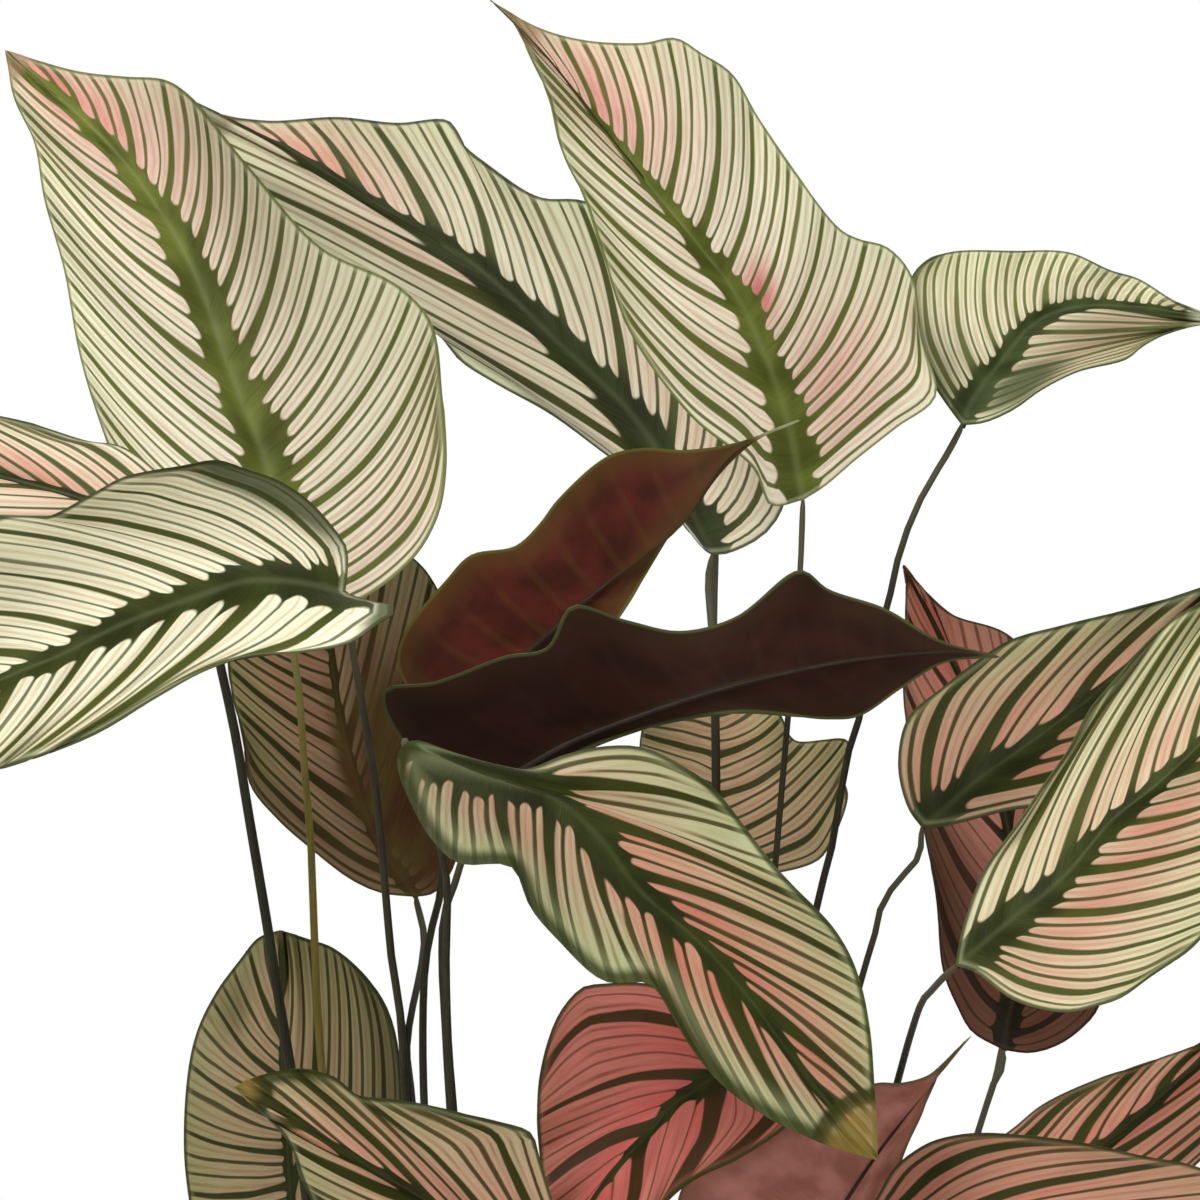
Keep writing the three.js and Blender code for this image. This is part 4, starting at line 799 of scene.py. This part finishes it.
def addStalk(name, leaf, material):
    base = place(leaf["rib"][:1], leaf["depth"])
    foot = [[*leaf["foot"], soilShape["top"]]]
    line = smoothLine(np.concatenate([base, place(leaf["stalk"], leaf["depth"]), foot]))
    joint = stalkShape["jointAt"]
    runs = np.concatenate([joint[:-1], np.linspace(joint[-1], line["length"], stalkShape["rings"])])
    share = runs / line["length"]
    slim = stalkShape["slim"] + stalkShape["more"] * share
    radii = leaf["thick"] * slim * np.interp(runs, joint, stalkShape["joint"])
    dots = pointAt(line, share)
    buried = dots[-1] + stalkShape["buried"] * tangentAt(line, share[-1:])[0]
    dotsDown = np.concatenate([dots, [buried]])
    stalk = addTube(name, dotsDown, [*radii, radii[-1]], stalkShape["sides"], material)
    at = np.array([vertex.co for vertex in stalk.data.vertices]) / mm
    nearest = ((at[:, None] - dots[None]) ** 2).sum(-1).argmin(1)
    storeOnPoints(stalk, "stalkRun", np.outer(runs[nearest], (1, 0, 0)))
    smoothShade(stalk, 60)
    return stalk


# Colours and node helpers

def paint(code):  # a screen colour such as "e6dcc6" as the light it gives back
    parts = [int(code[at:at + 2], 16) / 255 for at in (0, 2, 4)]
    return (*((c / 12.92 if c <= 0.04045 else ((c + 0.055) / 1.055) ** 2.4) for c in parts), 1)


class Wire:  # a node's output that plain arithmetic works on
    def __init__(self, socket):
        self.socket = socket

    def __add__(self, other):
        return calc("ADD", self, other)

    def __sub__(self, other):
        return calc("SUBTRACT", self, other)

    def __rsub__(self, other):
        return calc("SUBTRACT", other, self)

    def __mul__(self, other):
        return calc("MULTIPLY", self, other)

    def __truediv__(self, other):
        return calc("DIVIDE", self, other)

    def __rtruediv__(self, other):
        return calc("DIVIDE", other, self)

    __radd__ = __add__
    __rmul__ = __mul__


def feed(socket, value):
    if isinstance(value, Wire):
        socket.id_data.links.new(value.socket, socket)
    else:
        socket.default_value = value


def wire(kind, inputs, output=0, **settings):  # a new node beside those that feed it
    tree = next(value.socket.id_data for value in inputs.values() if isinstance(value, Wire))
    node = tree.nodes.new("ShaderNode" + kind)
    for name, setting in settings.items():
        setattr(node, name, setting)
    for name, value in inputs.items():
        feed(node.inputs[name], value)
    return Wire(node.outputs[output])


def calc(operation, *values):
    return wire("Math", dict(enumerate(values)), operation=operation)


def ramp(value, low, high, start=0.0, end=1.0):  # a soft step between low and high
    inputs = {"Value": value, "From Min": low, "From Max": high, "To Min": start, "To Max": end}
    return wire("MapRange", inputs, interpolation_type="SMOOTHSTEP")


def blend(amount, first, second, kind="MIX"):
    return wire("Mix", {0: amount, 6: first, 7: second}, 2, data_type="RGBA", blend_type=kind)


def tinted(colour, code, amount=1.0):
    return blend(amount, colour, paint(code), "MULTIPLY")


def gather(x, y, z=0.0):
    return wire("CombineXYZ", {0: x, 1: y, 2: z})


def split(vector):
    return [Wire(socket) for socket in wire("SeparateXYZ", {0: vector}).socket.node.outputs]


def clouds(vector, scale, detail=2.0, rough=0.5):
    return wire("TexNoise", {"Vector": vector, "Scale": scale, "Detail": detail, "Roughness": rough}, "Fac")


def chance(value):  # an even random number for each whole number
    return wire("TexWhiteNoise", {"W": value}, "Value", noise_dimensions="1D")


def readPoints(tree, name):  # what storeOnPoints kept
    reader = tree.nodes.new("ShaderNodeAttribute")
    reader.attribute_name = name
    return Wire(reader.outputs["Vector"])


# What both sides of a leaf read, and under which name it is kept on the blades
leafPlaces = {"Place": "leafPlace", "Edge": "leafEdge", "Tone": "leafTone", "Wear": "leafWear"}


def newLeafGroup(name, parts):
    tree = bpy.data.node_groups.new(name, "ShaderNodeTree")
    kinds = {**dict.fromkeys(leafPlaces, "Vector"), **dict.fromkeys(parts, "Color")}
    kinds.update((part, "Float") for part in parts if part in ("Fine", "Bold"))
    for label, kind in kinds.items():
        tree.interface.new_socket(label, in_out="INPUT", socket_type="NodeSocket" + kind)
    for label, kind in (("Colour", "Color"), ("Height", "Float"), ("Roughness", "Float")):
        tree.interface.new_socket(label, in_out="OUTPUT", socket_type="NodeSocket" + kind)
    given = {socket.name: Wire(socket) for socket in tree.nodes.new("NodeGroupInput").outputs}
    return tree, given, tree.nodes.new("NodeGroupOutput").inputs


def lanePlace(given):  # the lane of veins a point is in, its share out from the rib, and its side
    leftLane, rightLane, ribShare = split(given["Place"])
    across = split(given["Tone"])[2]
    onLeft = calc("LESS_THAN", across, 0)
    lane = rightLane + onLeft * (leftLane - rightLane)
    return lane, ribShare, across, calc("ABSOLUTE", across), onLeft


# The upper side: pale strips between fine dark lines, wide dark main veins and a dark rib.
# Widths are in millimetres, and places by the rib in shares of its dark band.
# Four numbers are a soft step: from where to where, and the amounts at its two ends.
stripeShape = {
    "strips": 3,  # between two main veins
    "stray": 0.36, "strayGrain": 1.7,  # how unevenly the main veins lie, in lanes
    "vein": (0.65, 0.65), "veinSoft": 0.35,  # the least width and its range
    "veinTaper": (0.35, 1, 1.3, 0.8),  # a vein narrows towards the edge
    "flareFrom": 0.8, "flareFall": 1.3, "veinFlare": 1.5,  # and widens into the band
    "line": (0.6, 0.8),  # the least width of a fine line and its range, as shares of the usual
    "lineGrowth": (0.2, 0.8, 0.55, 0.72), "lineFlare": 0.45, "lineSoft": (0.6, 0.3), "lineDark": 0.96,
    "fork": (6.5, 9.5, 0, 0.9), "secondFork": (11, 15, 0, 0.9),  # in two, then in four, by width
    "forkFrom": (0.3, 0.6), "forkLine": (0.2, 0.9, 1, 0),
    "start": (0.85, 0.75), "startRound": 2.4, "startSoft": 0.22,  # where the strips leave the band
    "greenEdge": (0.4, 1.2, 0.9, 0), "paleEdge": (0.8, 2.4, 0.3, 0),
}
stripeTints = {
    "beige": "cfb096", "murky": "bcb8a6", "groove": "8a7a5a", "ageAndShadeTint": "6a5a40", "streaked": "8c8465",
    "olive": ("5e3c24", "665428"),
}
stripeAmounts = {
    "outer": (0.35, 1.1), "beige": 0.42, "patches": (0.35, 0.65), "vein": (0.9, 3.2),
    "flush": (0.25, 1, 1, 0.6), "flushLuck": (0.75, 0.4),
    "ribLight": 0.2, "byRib": (0.02, 0.5, 0.2, 0), "groove": (0.2, 0.85, 0.05, 0.45),
    "green": (0.25, 0.75, 0, 0.9), "tip": 0.75,
    "streaks": (0.3, 0.7, 1, 0), "streaksFrom": (0.25, 0.7, 0, 0.24),
    "pale": 0.7, "streaked": 1.2, "sunk": 0.5,  # how high the strips, streaks and veins lie
    "rough": (0.42, 0.16),
}


def spread(least, more, share):
    return least + share * more


def buildStripes(parts):
    tree, given, result = newLeafGroup("calatheaStripes", parts)
    lane, ribShare, across, out, onLeft = lanePlace(given)
    edgeAway, laneWidth, along = split(given["Edge"])
    blush, ageAndPaintedShade, _ = split(given["Tone"])
    tipped, plain, greened = split(given["Wear"])
    green = given["Green"]

    # main veins sit at half numbers of lane, a little uneven, and thin out towards the edge
    drift = clouds(gather(lane * 0.8, out * 0.5), stripeShape["strayGrain"])
    lane = lane + (drift - 0.5) * stripeShape["stray"]
    toVein = calc("ABSOLUTE", calc("FRACT", lane) - 0.5) * laneWidth
    beyond = calc("MAXIMUM", ribShare - stripeShape["flareFrom"], 0)
    flare = 1 / (1 + beyond * stripeShape["flareFall"])
    apart = onLeft * 40.5  # so that the two sides differ
    own = spread(*stripeShape["vein"], chance(calc("FLOOR", lane) + apart))
    wide = own * (ramp(out, *stripeShape["veinTaper"]) + flare * stripeShape["veinFlare"]) * given["Bold"]
    mainVein = ramp(toVein, wide - stripeShape["veinSoft"], wide + stripeShape["veinSoft"], 1, 0)

    # the strips between two main veins, with fine lines between them
    strips = (lane + 0.5) * stripeShape["strips"]
    offMiddle = calc("ABSOLUTE", calc("FRACT", strips) - 0.5)
    luck = chance(calc("FLOOR", strips) + (apart + 0.3))
    stripWidth = laneWidth / stripeShape["strips"]
    toLine = (0.5 - offMiddle) * stripWidth
    line = ramp(out, *stripeShape["lineGrowth"]) + flare * stripeShape["lineFlare"]
    line = line * spread(*stripeShape["line"], luck) * given["Fine"]
    full, gone = stripeShape["lineSoft"]
    between = ramp(toLine, line * full, line + gone, 1, 0) * stripeShape["lineDark"]
    between = between * calc("MINIMUM", given["Fine"] + 0.2, 1)

    # wide strips fork, and every strip has a round start
    middle = ramp(offMiddle * stripWidth, *stripeShape["forkLine"])
    quarter = ramp(calc("ABSOLUTE", offMiddle - 0.25) * stripWidth, *stripeShape["forkLine"])
    inTwo = middle * ramp(stripWidth, *stripeShape["fork"])
    inFour = quarter * ramp(stripWidth, *stripeShape["secondFork"])
    forked = calc("MAXIMUM", inTwo, inFour) * ramp(out, *stripeShape["forkFrom"])
    between = calc("MAXIMUM", between, forked)
    start = spread(*stripeShape["start"], luck) + offMiddle * offMiddle * stripeShape["startRound"]
    begun = ramp(ribShare, start, start + stripeShape["startSoft"])
    notMain = begun * (1 - mainVein)
    pale = notMain * (1 - between)

    # cream and pink on the strips, dark on the rib and the veins, and brown between the strips
    amounts = stripeAmounts
    streaks = clouds(gather(lane * 26, out * 5), 1.0, 3.0, 0.6)
    patches = clouds(gather(along * 14, across * 4, 3.3), 0.7)
    patchy = ramp(patches, *amounts["patches"])
    cream = blend(ramp(out, *amounts["outer"]), given["Cream"], given["Outer"])
    cream = blend(middle * amounts["beige"], cream, tinted(cream, stripeTints["beige"]))
    flushed = blush * ramp(out, *amounts["flush"]) * spread(*amounts["flushLuck"], luck)
    cream = blend(calc("MINIMUM", flushed, 1), cream, given["Blush"])
    dark = blend(patchy, green, tinted(green, stripeTints["murky"]))
    dark = blend(ramp(ribShare, *amounts["vein"]), dark, given["Vein"])
    ribLight = blend(amounts["ribLight"], green, given["Outer"])
    dark = blend(ramp(ribShare, *amounts["byRib"]), dark, ribLight)
    groove = tinted(cream, stripeTints["groove"])
    groove = blend(ramp(out, *amounts["groove"]), dark, groove)
    colour = blend(pale, blend(notMain, dark, groove), cream)

    # the edges, then the plain and green spots, the dried tip, and darkening that is partly age and partly
    # painted shade
    colour = blend(ramp(edgeAway, *stripeShape["paleEdge"]), colour, given["Outer"])
    colour = blend(ramp(edgeAway, *stripeShape["greenEdge"]), colour, green)
    colour = blend(plain, colour, blend(patchy, *map(paint, stripeTints["olive"])))
    colour = blend(ramp(greened, *amounts["green"]), colour, green)
    colour = blend(tipped * amounts["tip"], colour, given["Tip"])
    # the shade spots darken the strips: partly age, partly painted shade where the leaf sits in shade or
    # turns from the light
    colour = blend(ageAndPaintedShade, colour, tinted(colour, stripeTints["ageAndShadeTint"]))
    streaked = ramp(streaks, *amounts["streaks"]) * ramp(ribShare, *amounts["streaksFrom"])
    feed(result["Colour"], tinted(colour, stripeTints["streaked"], streaked))
    raised = pale * amounts["pale"] - streaked * amounts["streaked"]
    feed(result["Height"], raised - mainVein * amounts["sunk"])
    feed(result["Roughness"], spread(*amounts["rough"], patches))
    return tree


# The underside: maroon, with faint veins and a paler rib, and more olive towards the edge
undersideAmounts = {
    "patches": (0.35, 0.68), "vein": (0.3, 2.4, 1, 0), "veinFade": (0.4, 1, 0.22, 0.06),
    "fine": (0.35, 0.7, 0, 0.25), "olive": (1, 13, 0.5, 0), "paleRib": 0.35, "byRib": (0.1, 0.5, 0.9, 0),
    "rim": (0.5, 1.5, 0.9, 0), "tip": 0.85, "ageAndShadeTint": "8c7c74", "raised": (2, 0.4), "rough": (0.5, 0.2),
}


def buildUnderside(parts):
    tree, given, result = newLeafGroup("calatheaUnderside", parts)
    lane, ribShare, across, out, _ = lanePlace(given)
    edgeAway, laneWidth, along = split(given["Edge"])
    tipped = split(given["Wear"])[0]
    ageAndPaintedShade = split(given["Tone"])[1]
    amounts = undersideAmounts
    patches = clouds(gather(along * 7, across * 1.6), 1.4, 3.0)
    colour = blend(ramp(patches, *amounts["patches"]), given["Dark"], given["Red"])
    toVein = calc("ABSOLUTE", calc("FRACT", lane) - 0.5) * laneWidth
    veined = ramp(toVein, *amounts["vein"]) * ramp(out, *amounts["veinFade"])
    colour = blend(veined, colour, given["Olive"])
    fine = clouds(gather(lane * 30, out * 5), 1.0, 3.0, 0.6)
    colour = blend(ramp(fine, *amounts["fine"]), colour, given["Red"])
    colour = blend(ramp(edgeAway, *amounts["olive"]), colour, given["Olive"])
    nearRib = blend(amounts["paleRib"], given["Dark"], given["Rim"])
    colour = blend(ramp(ribShare, *amounts["byRib"]), colour, nearRib)
    colour = blend(ramp(edgeAway, *amounts["rim"]), colour, given["Rim"])
    colour = blend(tipped * amounts["tip"], colour, given["Tip"])
    # the shade spots darken the underside: partly age, partly painted shade where it lies in shadow
    feed(result["Colour"], blend(ageAndPaintedShade, colour, tinted(colour, amounts["ageAndShadeTint"])))
    byVein, byFine = amounts["raised"]
    feed(result["Height"], veined * byVein + fine * byFine)
    feed(result["Roughness"], spread(*amounts["rough"], patches))
    return tree


def newMaterial(name, bumpDistance, bumpStrength, **settings):
    material = bpy.data.materials.new(name)
    material.use_nodes = True
    tree = material.node_tree
    shader = tree.nodes["Principled BSDF"]
    for label, value in settings.items():
        shader.inputs[label].default_value = value
    bump = tree.nodes.new("ShaderNodeBump")
    bump.inputs["Distance"].default_value = bumpDistance
    bump.inputs["Strength"].default_value = bumpStrength
    tree.links.new(bump.outputs[0], shader.inputs["Normal"])
    return material, tree, shader, bump.inputs["Height"]


def leafMaterial(name, group, bumpStrength, gloss, look):
    settings = {"Specular IOR Level": gloss}
    material, tree, shader, height = newMaterial(name, 0.0005, bumpStrength, **settings)
    node = tree.nodes.new("ShaderNodeGroup")
    node.node_tree = group
    for socket, attribute in leafPlaces.items():
        feed(node.inputs[socket], readPoints(tree, attribute))
    for label, value in look.items():
        node.inputs[label].default_value = paint(value) if isinstance(value, str) else value
    results = (("Colour", shader.inputs["Base Color"]), ("Roughness", shader.inputs["Roughness"]))
    for label, socket in (*results, ("Height", height)):
        feed(socket, Wire(node.outputs[label]))
    return material


# Fine and Bold set how wide the fine lines and the main veins are
upperParts = ("Cream", "Outer", "Blush", "Green", "Vein", "Tip", "Fine", "Bold")
upperLooks = {
    "lime": ("f5eed4", "e8eac6", "d88880", "6c7630", "62682e", "a08464", 0.9, 0.78),
    "white": ("dcdab2", "d2d7a8", "d4907c", "3c4419", "4c511e", "8c8444", 0.85, 0.88),
    "ivory": ("f7f4d4", "eef0c8", "d4907c", "3c4419", "4c511e", "8c8444", 0.7, 0.85),
    "rose": ("cfa88e", "bd9c7c", "d07f6a", "363d12", "3a3d12", "98803e", 1, 1),
    "rust": ("e8aa94", "d69e84", "d07a68", "35380f", "4a2c1c", "7c5030", 0.5, 0.9),
    "sage": ("e8e4c6", "dadcb4", "d8907e", "39411c", "50542a", "8c8464", 0.9, 0.95),
    "blush": ("c8bc98", "b8bf8e", "cd806c", "363d12", "3a3d12", "98803e", 1.2, 1.1),
    "pale": ("e8e2c0", "dce0b4", "d29e84", "46532a", "6e7440", "d0d0b0", 0.8, 0.6),
    "shaded": ("c2ae86", "a8a674", "bc7e68", "3a4018", "3c3e16", "6c6038", 0.85, 0.95),
    "coral": ("cc8676", "ae725c", "c76058", "35380f", "442e12", "7c5030", 0.5, 1.5),
}
underParts = ("Dark", "Red", "Olive", "Rim", "Tip")
underLooks = {
    "maroon": ("26140d", "341a12", "352617", "4c522f", "4a4a2c"),
    "red": ("3e1e16", "5a261e", "5e4820", "5f5d28", "9c9c78"),
    "mauve": ("945a4c", "b87a6e", "7c5038", "5f5236", "7c6850"),
}


def leafMaterials(prefix, group, bumpStrength, gloss, parts, looks):
    return {
        tone: leafMaterial(prefix + tone, group, bumpStrength, gloss, dict(zip(parts, look)))
        for tone, look in looks.items()
    }


uppers = leafMaterials("leafUpper_", buildStripes(upperParts), 0.5, 0.1, upperParts, upperLooks)
unders = leafMaterials("leafUnder_", buildUnderside(underParts), 0.4, 0.07, underParts, underLooks)


def plainMaterial(name, codes, scale, bumpStrength, bumpDistance, rough, joint=None, **settings):  # mottled
    material, tree, shader, height = newMaterial(name, bumpDistance, bumpStrength, **settings)
    where = Wire(tree.nodes.new("ShaderNodeTexCoord").outputs["Object"])
    where = wire("Mapping", {"Vector": where, "Scale": scale})
    broad = clouds(where, 1.0, 3.0)
    fine = clouds(where, 5.0, 4.0, 0.65)
    colour = blend(ramp(broad, 0.35, 0.65), paint(codes[0]), paint(codes[1]))
    colour = blend(ramp(fine, 0.5, 0.75, 0, 0.7), colour, paint(codes[2]))
    if joint:  # a stalk is paler just under its blade
        near = ramp(split(readPoints(tree, "stalkRun"))[0], 14, 75, 0.85, 0)
        colour = blend(near, colour, paint(joint))
    feed(shader.inputs["Base Color"], colour)
    feed(shader.inputs["Roughness"], rough[0] + fine * (rough[1] - rough[0]))
    feed(height, fine)
    return material


# stalks are streaked along their length, which is close to upright
gloss = {"Specular IOR Level": 0.2}
strands = (420, 420, 22), 0.25, 0.0004, (0.45, 0.65)
darkStalk = plainMaterial("stalkDark", ("2d2e19", "2a2014", "44422a"), *strands, joint="56523c", **gloss)
limeStalk = plainMaterial("stalkLime", ("7c6c2a", "665c24", "8f8040"), *strands, joint="7c7a40", **gloss)
underRib, potPlastic, soilMix, barkBits, paleGrit = (
    plainMaterial(name, codes, scale, strength, distance, rough, **settings)
    for name, codes, scale, strength, distance, rough, settings in (
        ("leafRib", ("33251f", "2a1c19", "3e2e24"), (160, 160, 160), 0.2, 0.0003, (0.5, 0.7), gloss),
        ("potPlastic", ("2b2c2d", "323334", "3c3d3e"), (90, 90, 16), 0.12, 0.0003, (0.42, 0.6), {}),
        ("soilMix", ("3a2a1f", "241a14", "5d4734"), (70, 70, 70), 0.9, 0.0016, (0.85, 0.98), {}),
        ("barkBits", ("5a4230", "3c2a1e", "806248"), (160, 160, 160), 0.6, 0.0006, (0.8, 0.95), {}),
        ("paleGrit", ("d8d3c4", "bdb6a4", "eeeade"), (300, 300, 300), 0.5, 0.0005, (0.75, 0.9), {}),
    )
)
print("Materials made")


# Pot: a disc is drawn up ring by ring, over the rim and down to the inner floor

def innerRadius(height):
    top = potShape["topRadius"] - potShape["rimOverhang"] - potShape["wall"]
    foot = potShape["footRadius"] - potShape["wall"]
    rise = potShape["height"] - potShape["lip"] - potShape["floor"]
    return foot + (top - foot) * ((height - potShape["floor"]) / rise)


def outerRadius(height):
    return innerRadius(height) + potShape["wall"]


def potRings():  # radius and height of each ring, from the foot over the rim to the inner floor
    high, top, foot, floor = (potShape[key] for key in ("height", "topRadius", "footRadius", "floor"))
    rimFoot = high - potShape["rimHeight"]
    inner = innerRadius(high - potShape["lip"])
    return [
        (foot - 1.6, 0.25), (foot - 0.7, 0.9), (foot - 0.1, 2.2), (foot, 3),
        *((outerRadius(step), step) for step in np.linspace(6, rimFoot - 4, 7)),
        (outerRadius(rimFoot - 2) + 0.25, rimFoot - 2), (outerRadius(rimFoot) + 0.8, rimFoot - 1),
        (top - 1.6, rimFoot - 0.2), (top - 0.9, rimFoot + 0.2), (top - 0.45, rimFoot + 0.9),
        (top - 0.25, rimFoot + 2), (top - 0.05, high - 3.2), (top, high - 2), (top - 0.25, high - 1.1),
        (top - 0.8, high - 0.45), (top - 1.6, high - 0.1), (top - 2.6, high),
        (inner + 1.4, high), (inner + 0.6, high - 0.25), (inner + 0.15, high - 0.7), (inner, high - 1.4),
        *((innerRadius(step), step) for step in np.linspace(high - 12, floor + 3, 6)),
        (innerRadius(floor) - 2, floor),
    ]


def addPot():
    radius = potShape["footRadius"] - 3
    bpy.ops.mesh.primitive_circle_add(vertices=potShape["segments"], radius=radius * mm, fill_type="NGON")
    pot = bpy.context.object
    pot.name = "potBody"
    bpy.ops.object.mode_set(mode="EDIT")
    bpy.ops.mesh.select_all(action="SELECT")
    height = 0
    for nextRadius, nextHeight in potRings():
        lift = (0, 0, (nextHeight - height) * mm)
        bpy.ops.mesh.extrude_region_move(TRANSFORM_OT_translate={"value": lift})
        grow = nextRadius / radius
        bpy.ops.transform.resize(value=(grow, grow, 1), center_override=(0, 0, 0))
        radius, height = nextRadius, nextHeight
    bpy.ops.mesh.select_all(action="SELECT")
    bpy.ops.mesh.normals_make_consistent(inside=False)
    bpy.ops.object.mode_set(mode="OBJECT")
    pot.data.materials.append(potPlastic)
    smoothShade(pot, 40)
    return pot


# Soil: a round lumpy top with crumbs of bark and pale grit on it

def addSoil():
    radius = innerRadius(soilShape["top"] - 3) - 0.7
    cells, rise = soilShape["cells"], soilShape["dome"]
    bpy.ops.mesh.primitive_grid_add(x_subdivisions=cells, y_subdivisions=cells, size=2)
    soil = bpy.context.object
    soil.name = "soilTop"
    for vertex in soil.data.vertices:  # the square is pulled round
        x, y, _ = vertex.co
        size = math.hypot(x, y)
        square = max(abs(x), abs(y))
        scale = radius * mm * square / size if size > 0 else 0
        dome = rise * (1 - square**2) - rise * square**12
        vertex.co = (x * scale, y * scale, (soilShape["top"] + dome - 0.5) * mm)
    for label, size, strength in (("soilLumps", 0.02, "lump"), ("soilGrain", 0.0045, "grain")):
        texture = bpy.data.textures.new(label, "CLOUDS")
        texture.noise_scale = size
        texture.noise_depth = 3
        applyModifier(
            soil, "DISPLACE", texture=texture, texture_coords="LOCAL",
            strength=2 * soilShape[strength] * mm, direction="Z", mid_level=0.5,
        )
    applyModifier(soil, "SOLIDIFY", thickness=soilShape["depth"] * mm, offset=-1)
    soil.data.materials.append(soilMix)
    smoothShade(soil, 60)
    return soil


def addCrumbs(name, soil, count, sizes, flat, material):
    bpy.ops.mesh.primitive_ico_sphere_add(subdivisions=1, radius=1)
    pattern = bpy.context.object
    dice = random.Random(soilShape["seed"] + count)
    for vertex in pattern.data.vertices:
        vertex.co *= dice.uniform(0.7, 1.2)
    crumbs = []
    reach = innerRadius(soilShape["top"]) - 3.5
    for _ in range(count):
        far = reach * math.sqrt(dice.random())
        turn = dice.uniform(0, 2 * math.pi)
        x, y = far * math.cos(turn) * mm, far * math.sin(turn) * mm
        _, spot, _, _ = soil.ray_cast((x, y, 0.25), (0, 0, -1))
        size = dice.uniform(*sizes) * mm
        mesh = pattern.data.copy()
        shape = Matrix.Diagonal((size * dice.uniform(0.7, 1.7), size, size * flat, 1))
        roll = Matrix.Rotation(dice.uniform(-0.6, 0.6), 4, "X")
        roll = roll @ Matrix.Rotation(dice.uniform(0, 6.28), 4, "Z")
        mesh.transform(Matrix.Translation(spot + Vector((0, 0, size * flat * 0.3))) @ roll @ shape)
        crumb = bpy.data.objects.new(name, mesh)
        bpy.context.collection.objects.link(crumb)
        crumbs.append(crumb)
    bpy.data.objects.remove(pattern)
    bpy.ops.object.select_all(action="DESELECT")
    for crumb in crumbs:
        crumb.select_set(True)
    bpy.context.view_layer.objects.active = crumbs[0]
    bpy.ops.object.join()
    crumbs = bpy.context.object
    crumbs.name = name
    crumbs.data.materials.clear()
    crumbs.data.materials.append(material)
    return crumbs


# Camera, light and floor

sceneLook = {
    "lens": 192, "sensor": 36, "backdrop": 1.0, "ambient": 0.46,
    "lights": (  # name, place, aim, size, watts
        ("keyLight", (-1.3, -1.9, 2.3), (0, 0, 0.6), 1.0, 60),
        ("fillLight", (1.9, -1.7, 1.1), (0, 0, 0.6), 1.6, 12),
        ("topLight", (0.2, 0.6, 2.6), (0, 0, 0.6), 1.6, 22),
    ),
}


def addCamera():
    at = view["centreX"], -view["distance"], view["centreZ"]
    bpy.ops.object.camera_add(location=[step * mm for step in at])
    camera = bpy.context.object
    camera.name = "photoView"
    camera.rotation_euler = (math.pi / 2, 0, 0)
    camera.data.sensor_width = sceneLook["sensor"]
    camera.data.lens = sceneLook["lens"]
    camera.data.clip_end = 50
    bpy.context.scene.camera = camera


def addLights():
    for name, at, aim, size, watts in sceneLook["lights"]:
        bpy.ops.object.light_add(type="AREA", location=at)
        light = bpy.context.object
        light.name = name
        light.data.size = size
        light.data.energy = watts
        light.rotation_euler = (Vector(aim) - Vector(at)).to_track_quat("-Z", "Y").to_euler()
    world = bpy.data.worlds.new("studioAir")
    bpy.context.scene.world = world
    world.use_nodes = True
    tree = world.node_tree
    seen = Wire(tree.nodes.new("ShaderNodeLightPath").outputs["Is Camera Ray"])
    background = tree.nodes["Background"]
    background.inputs["Color"].default_value = (1, 1, 1, 1)
    ambient = sceneLook["ambient"]
    feed(background.inputs["Strength"], ambient + seen * (sceneLook["backdrop"] - ambient))
    bpy.context.scene.view_settings.view_transform = "Standard"


def addFloor():
    bpy.ops.mesh.primitive_circle_add(vertices=96, radius=1.9, fill_type="NGON", location=(0, 0, 0))
    floor = bpy.context.object
    floor.name = "studioFloor"
    greys = "e4e3e0", "dfdedb", "e8e7e4"
    floor.data.materials.append(plainMaterial("floorPaint", greys, (2, 2, 2), 0.05, 0.001, (0.6, 0.75)))


addCamera()
addLights()
addFloor()
print("Camera, light and floor made")


# Every piece rides on the model and stands for its node

def keep(piece, node):
    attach(piece, "root")
    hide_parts(node)


for name, leaf in leaves.items():
    upper = uppers[leaf["surface"]]
    under = unders[leaf["underTone"]]
    front, back = (under, upper) if leaf["under"] else (upper, under)
    blade = addBlade("leafBlade_" + name, leaf, front, back, underRib)
    lime = name == "upperLeft"
    keep(blade, "blade_" + name)
    stalk = addStalk("leafStalk_" + name, leaf, limeStalk if lime else darkStalk)
    keep(stalk, "stalk_" + name)
print("Leaves made:", len(leaves))

keep(addPot(), "pot")
soil = addSoil()
keep(soil, "soil")
for crumbs in (
    addCrumbs("soilBark", soil, soilShape["crumbs"], (0.9, 2.6), 0.6, barkBits),
    addCrumbs("soilGrit", soil, soilShape["flakes"], (0.7, 1.6), 0.8, paleGrit),
):
    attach(crumbs, "root")
print("Pot and soil made")
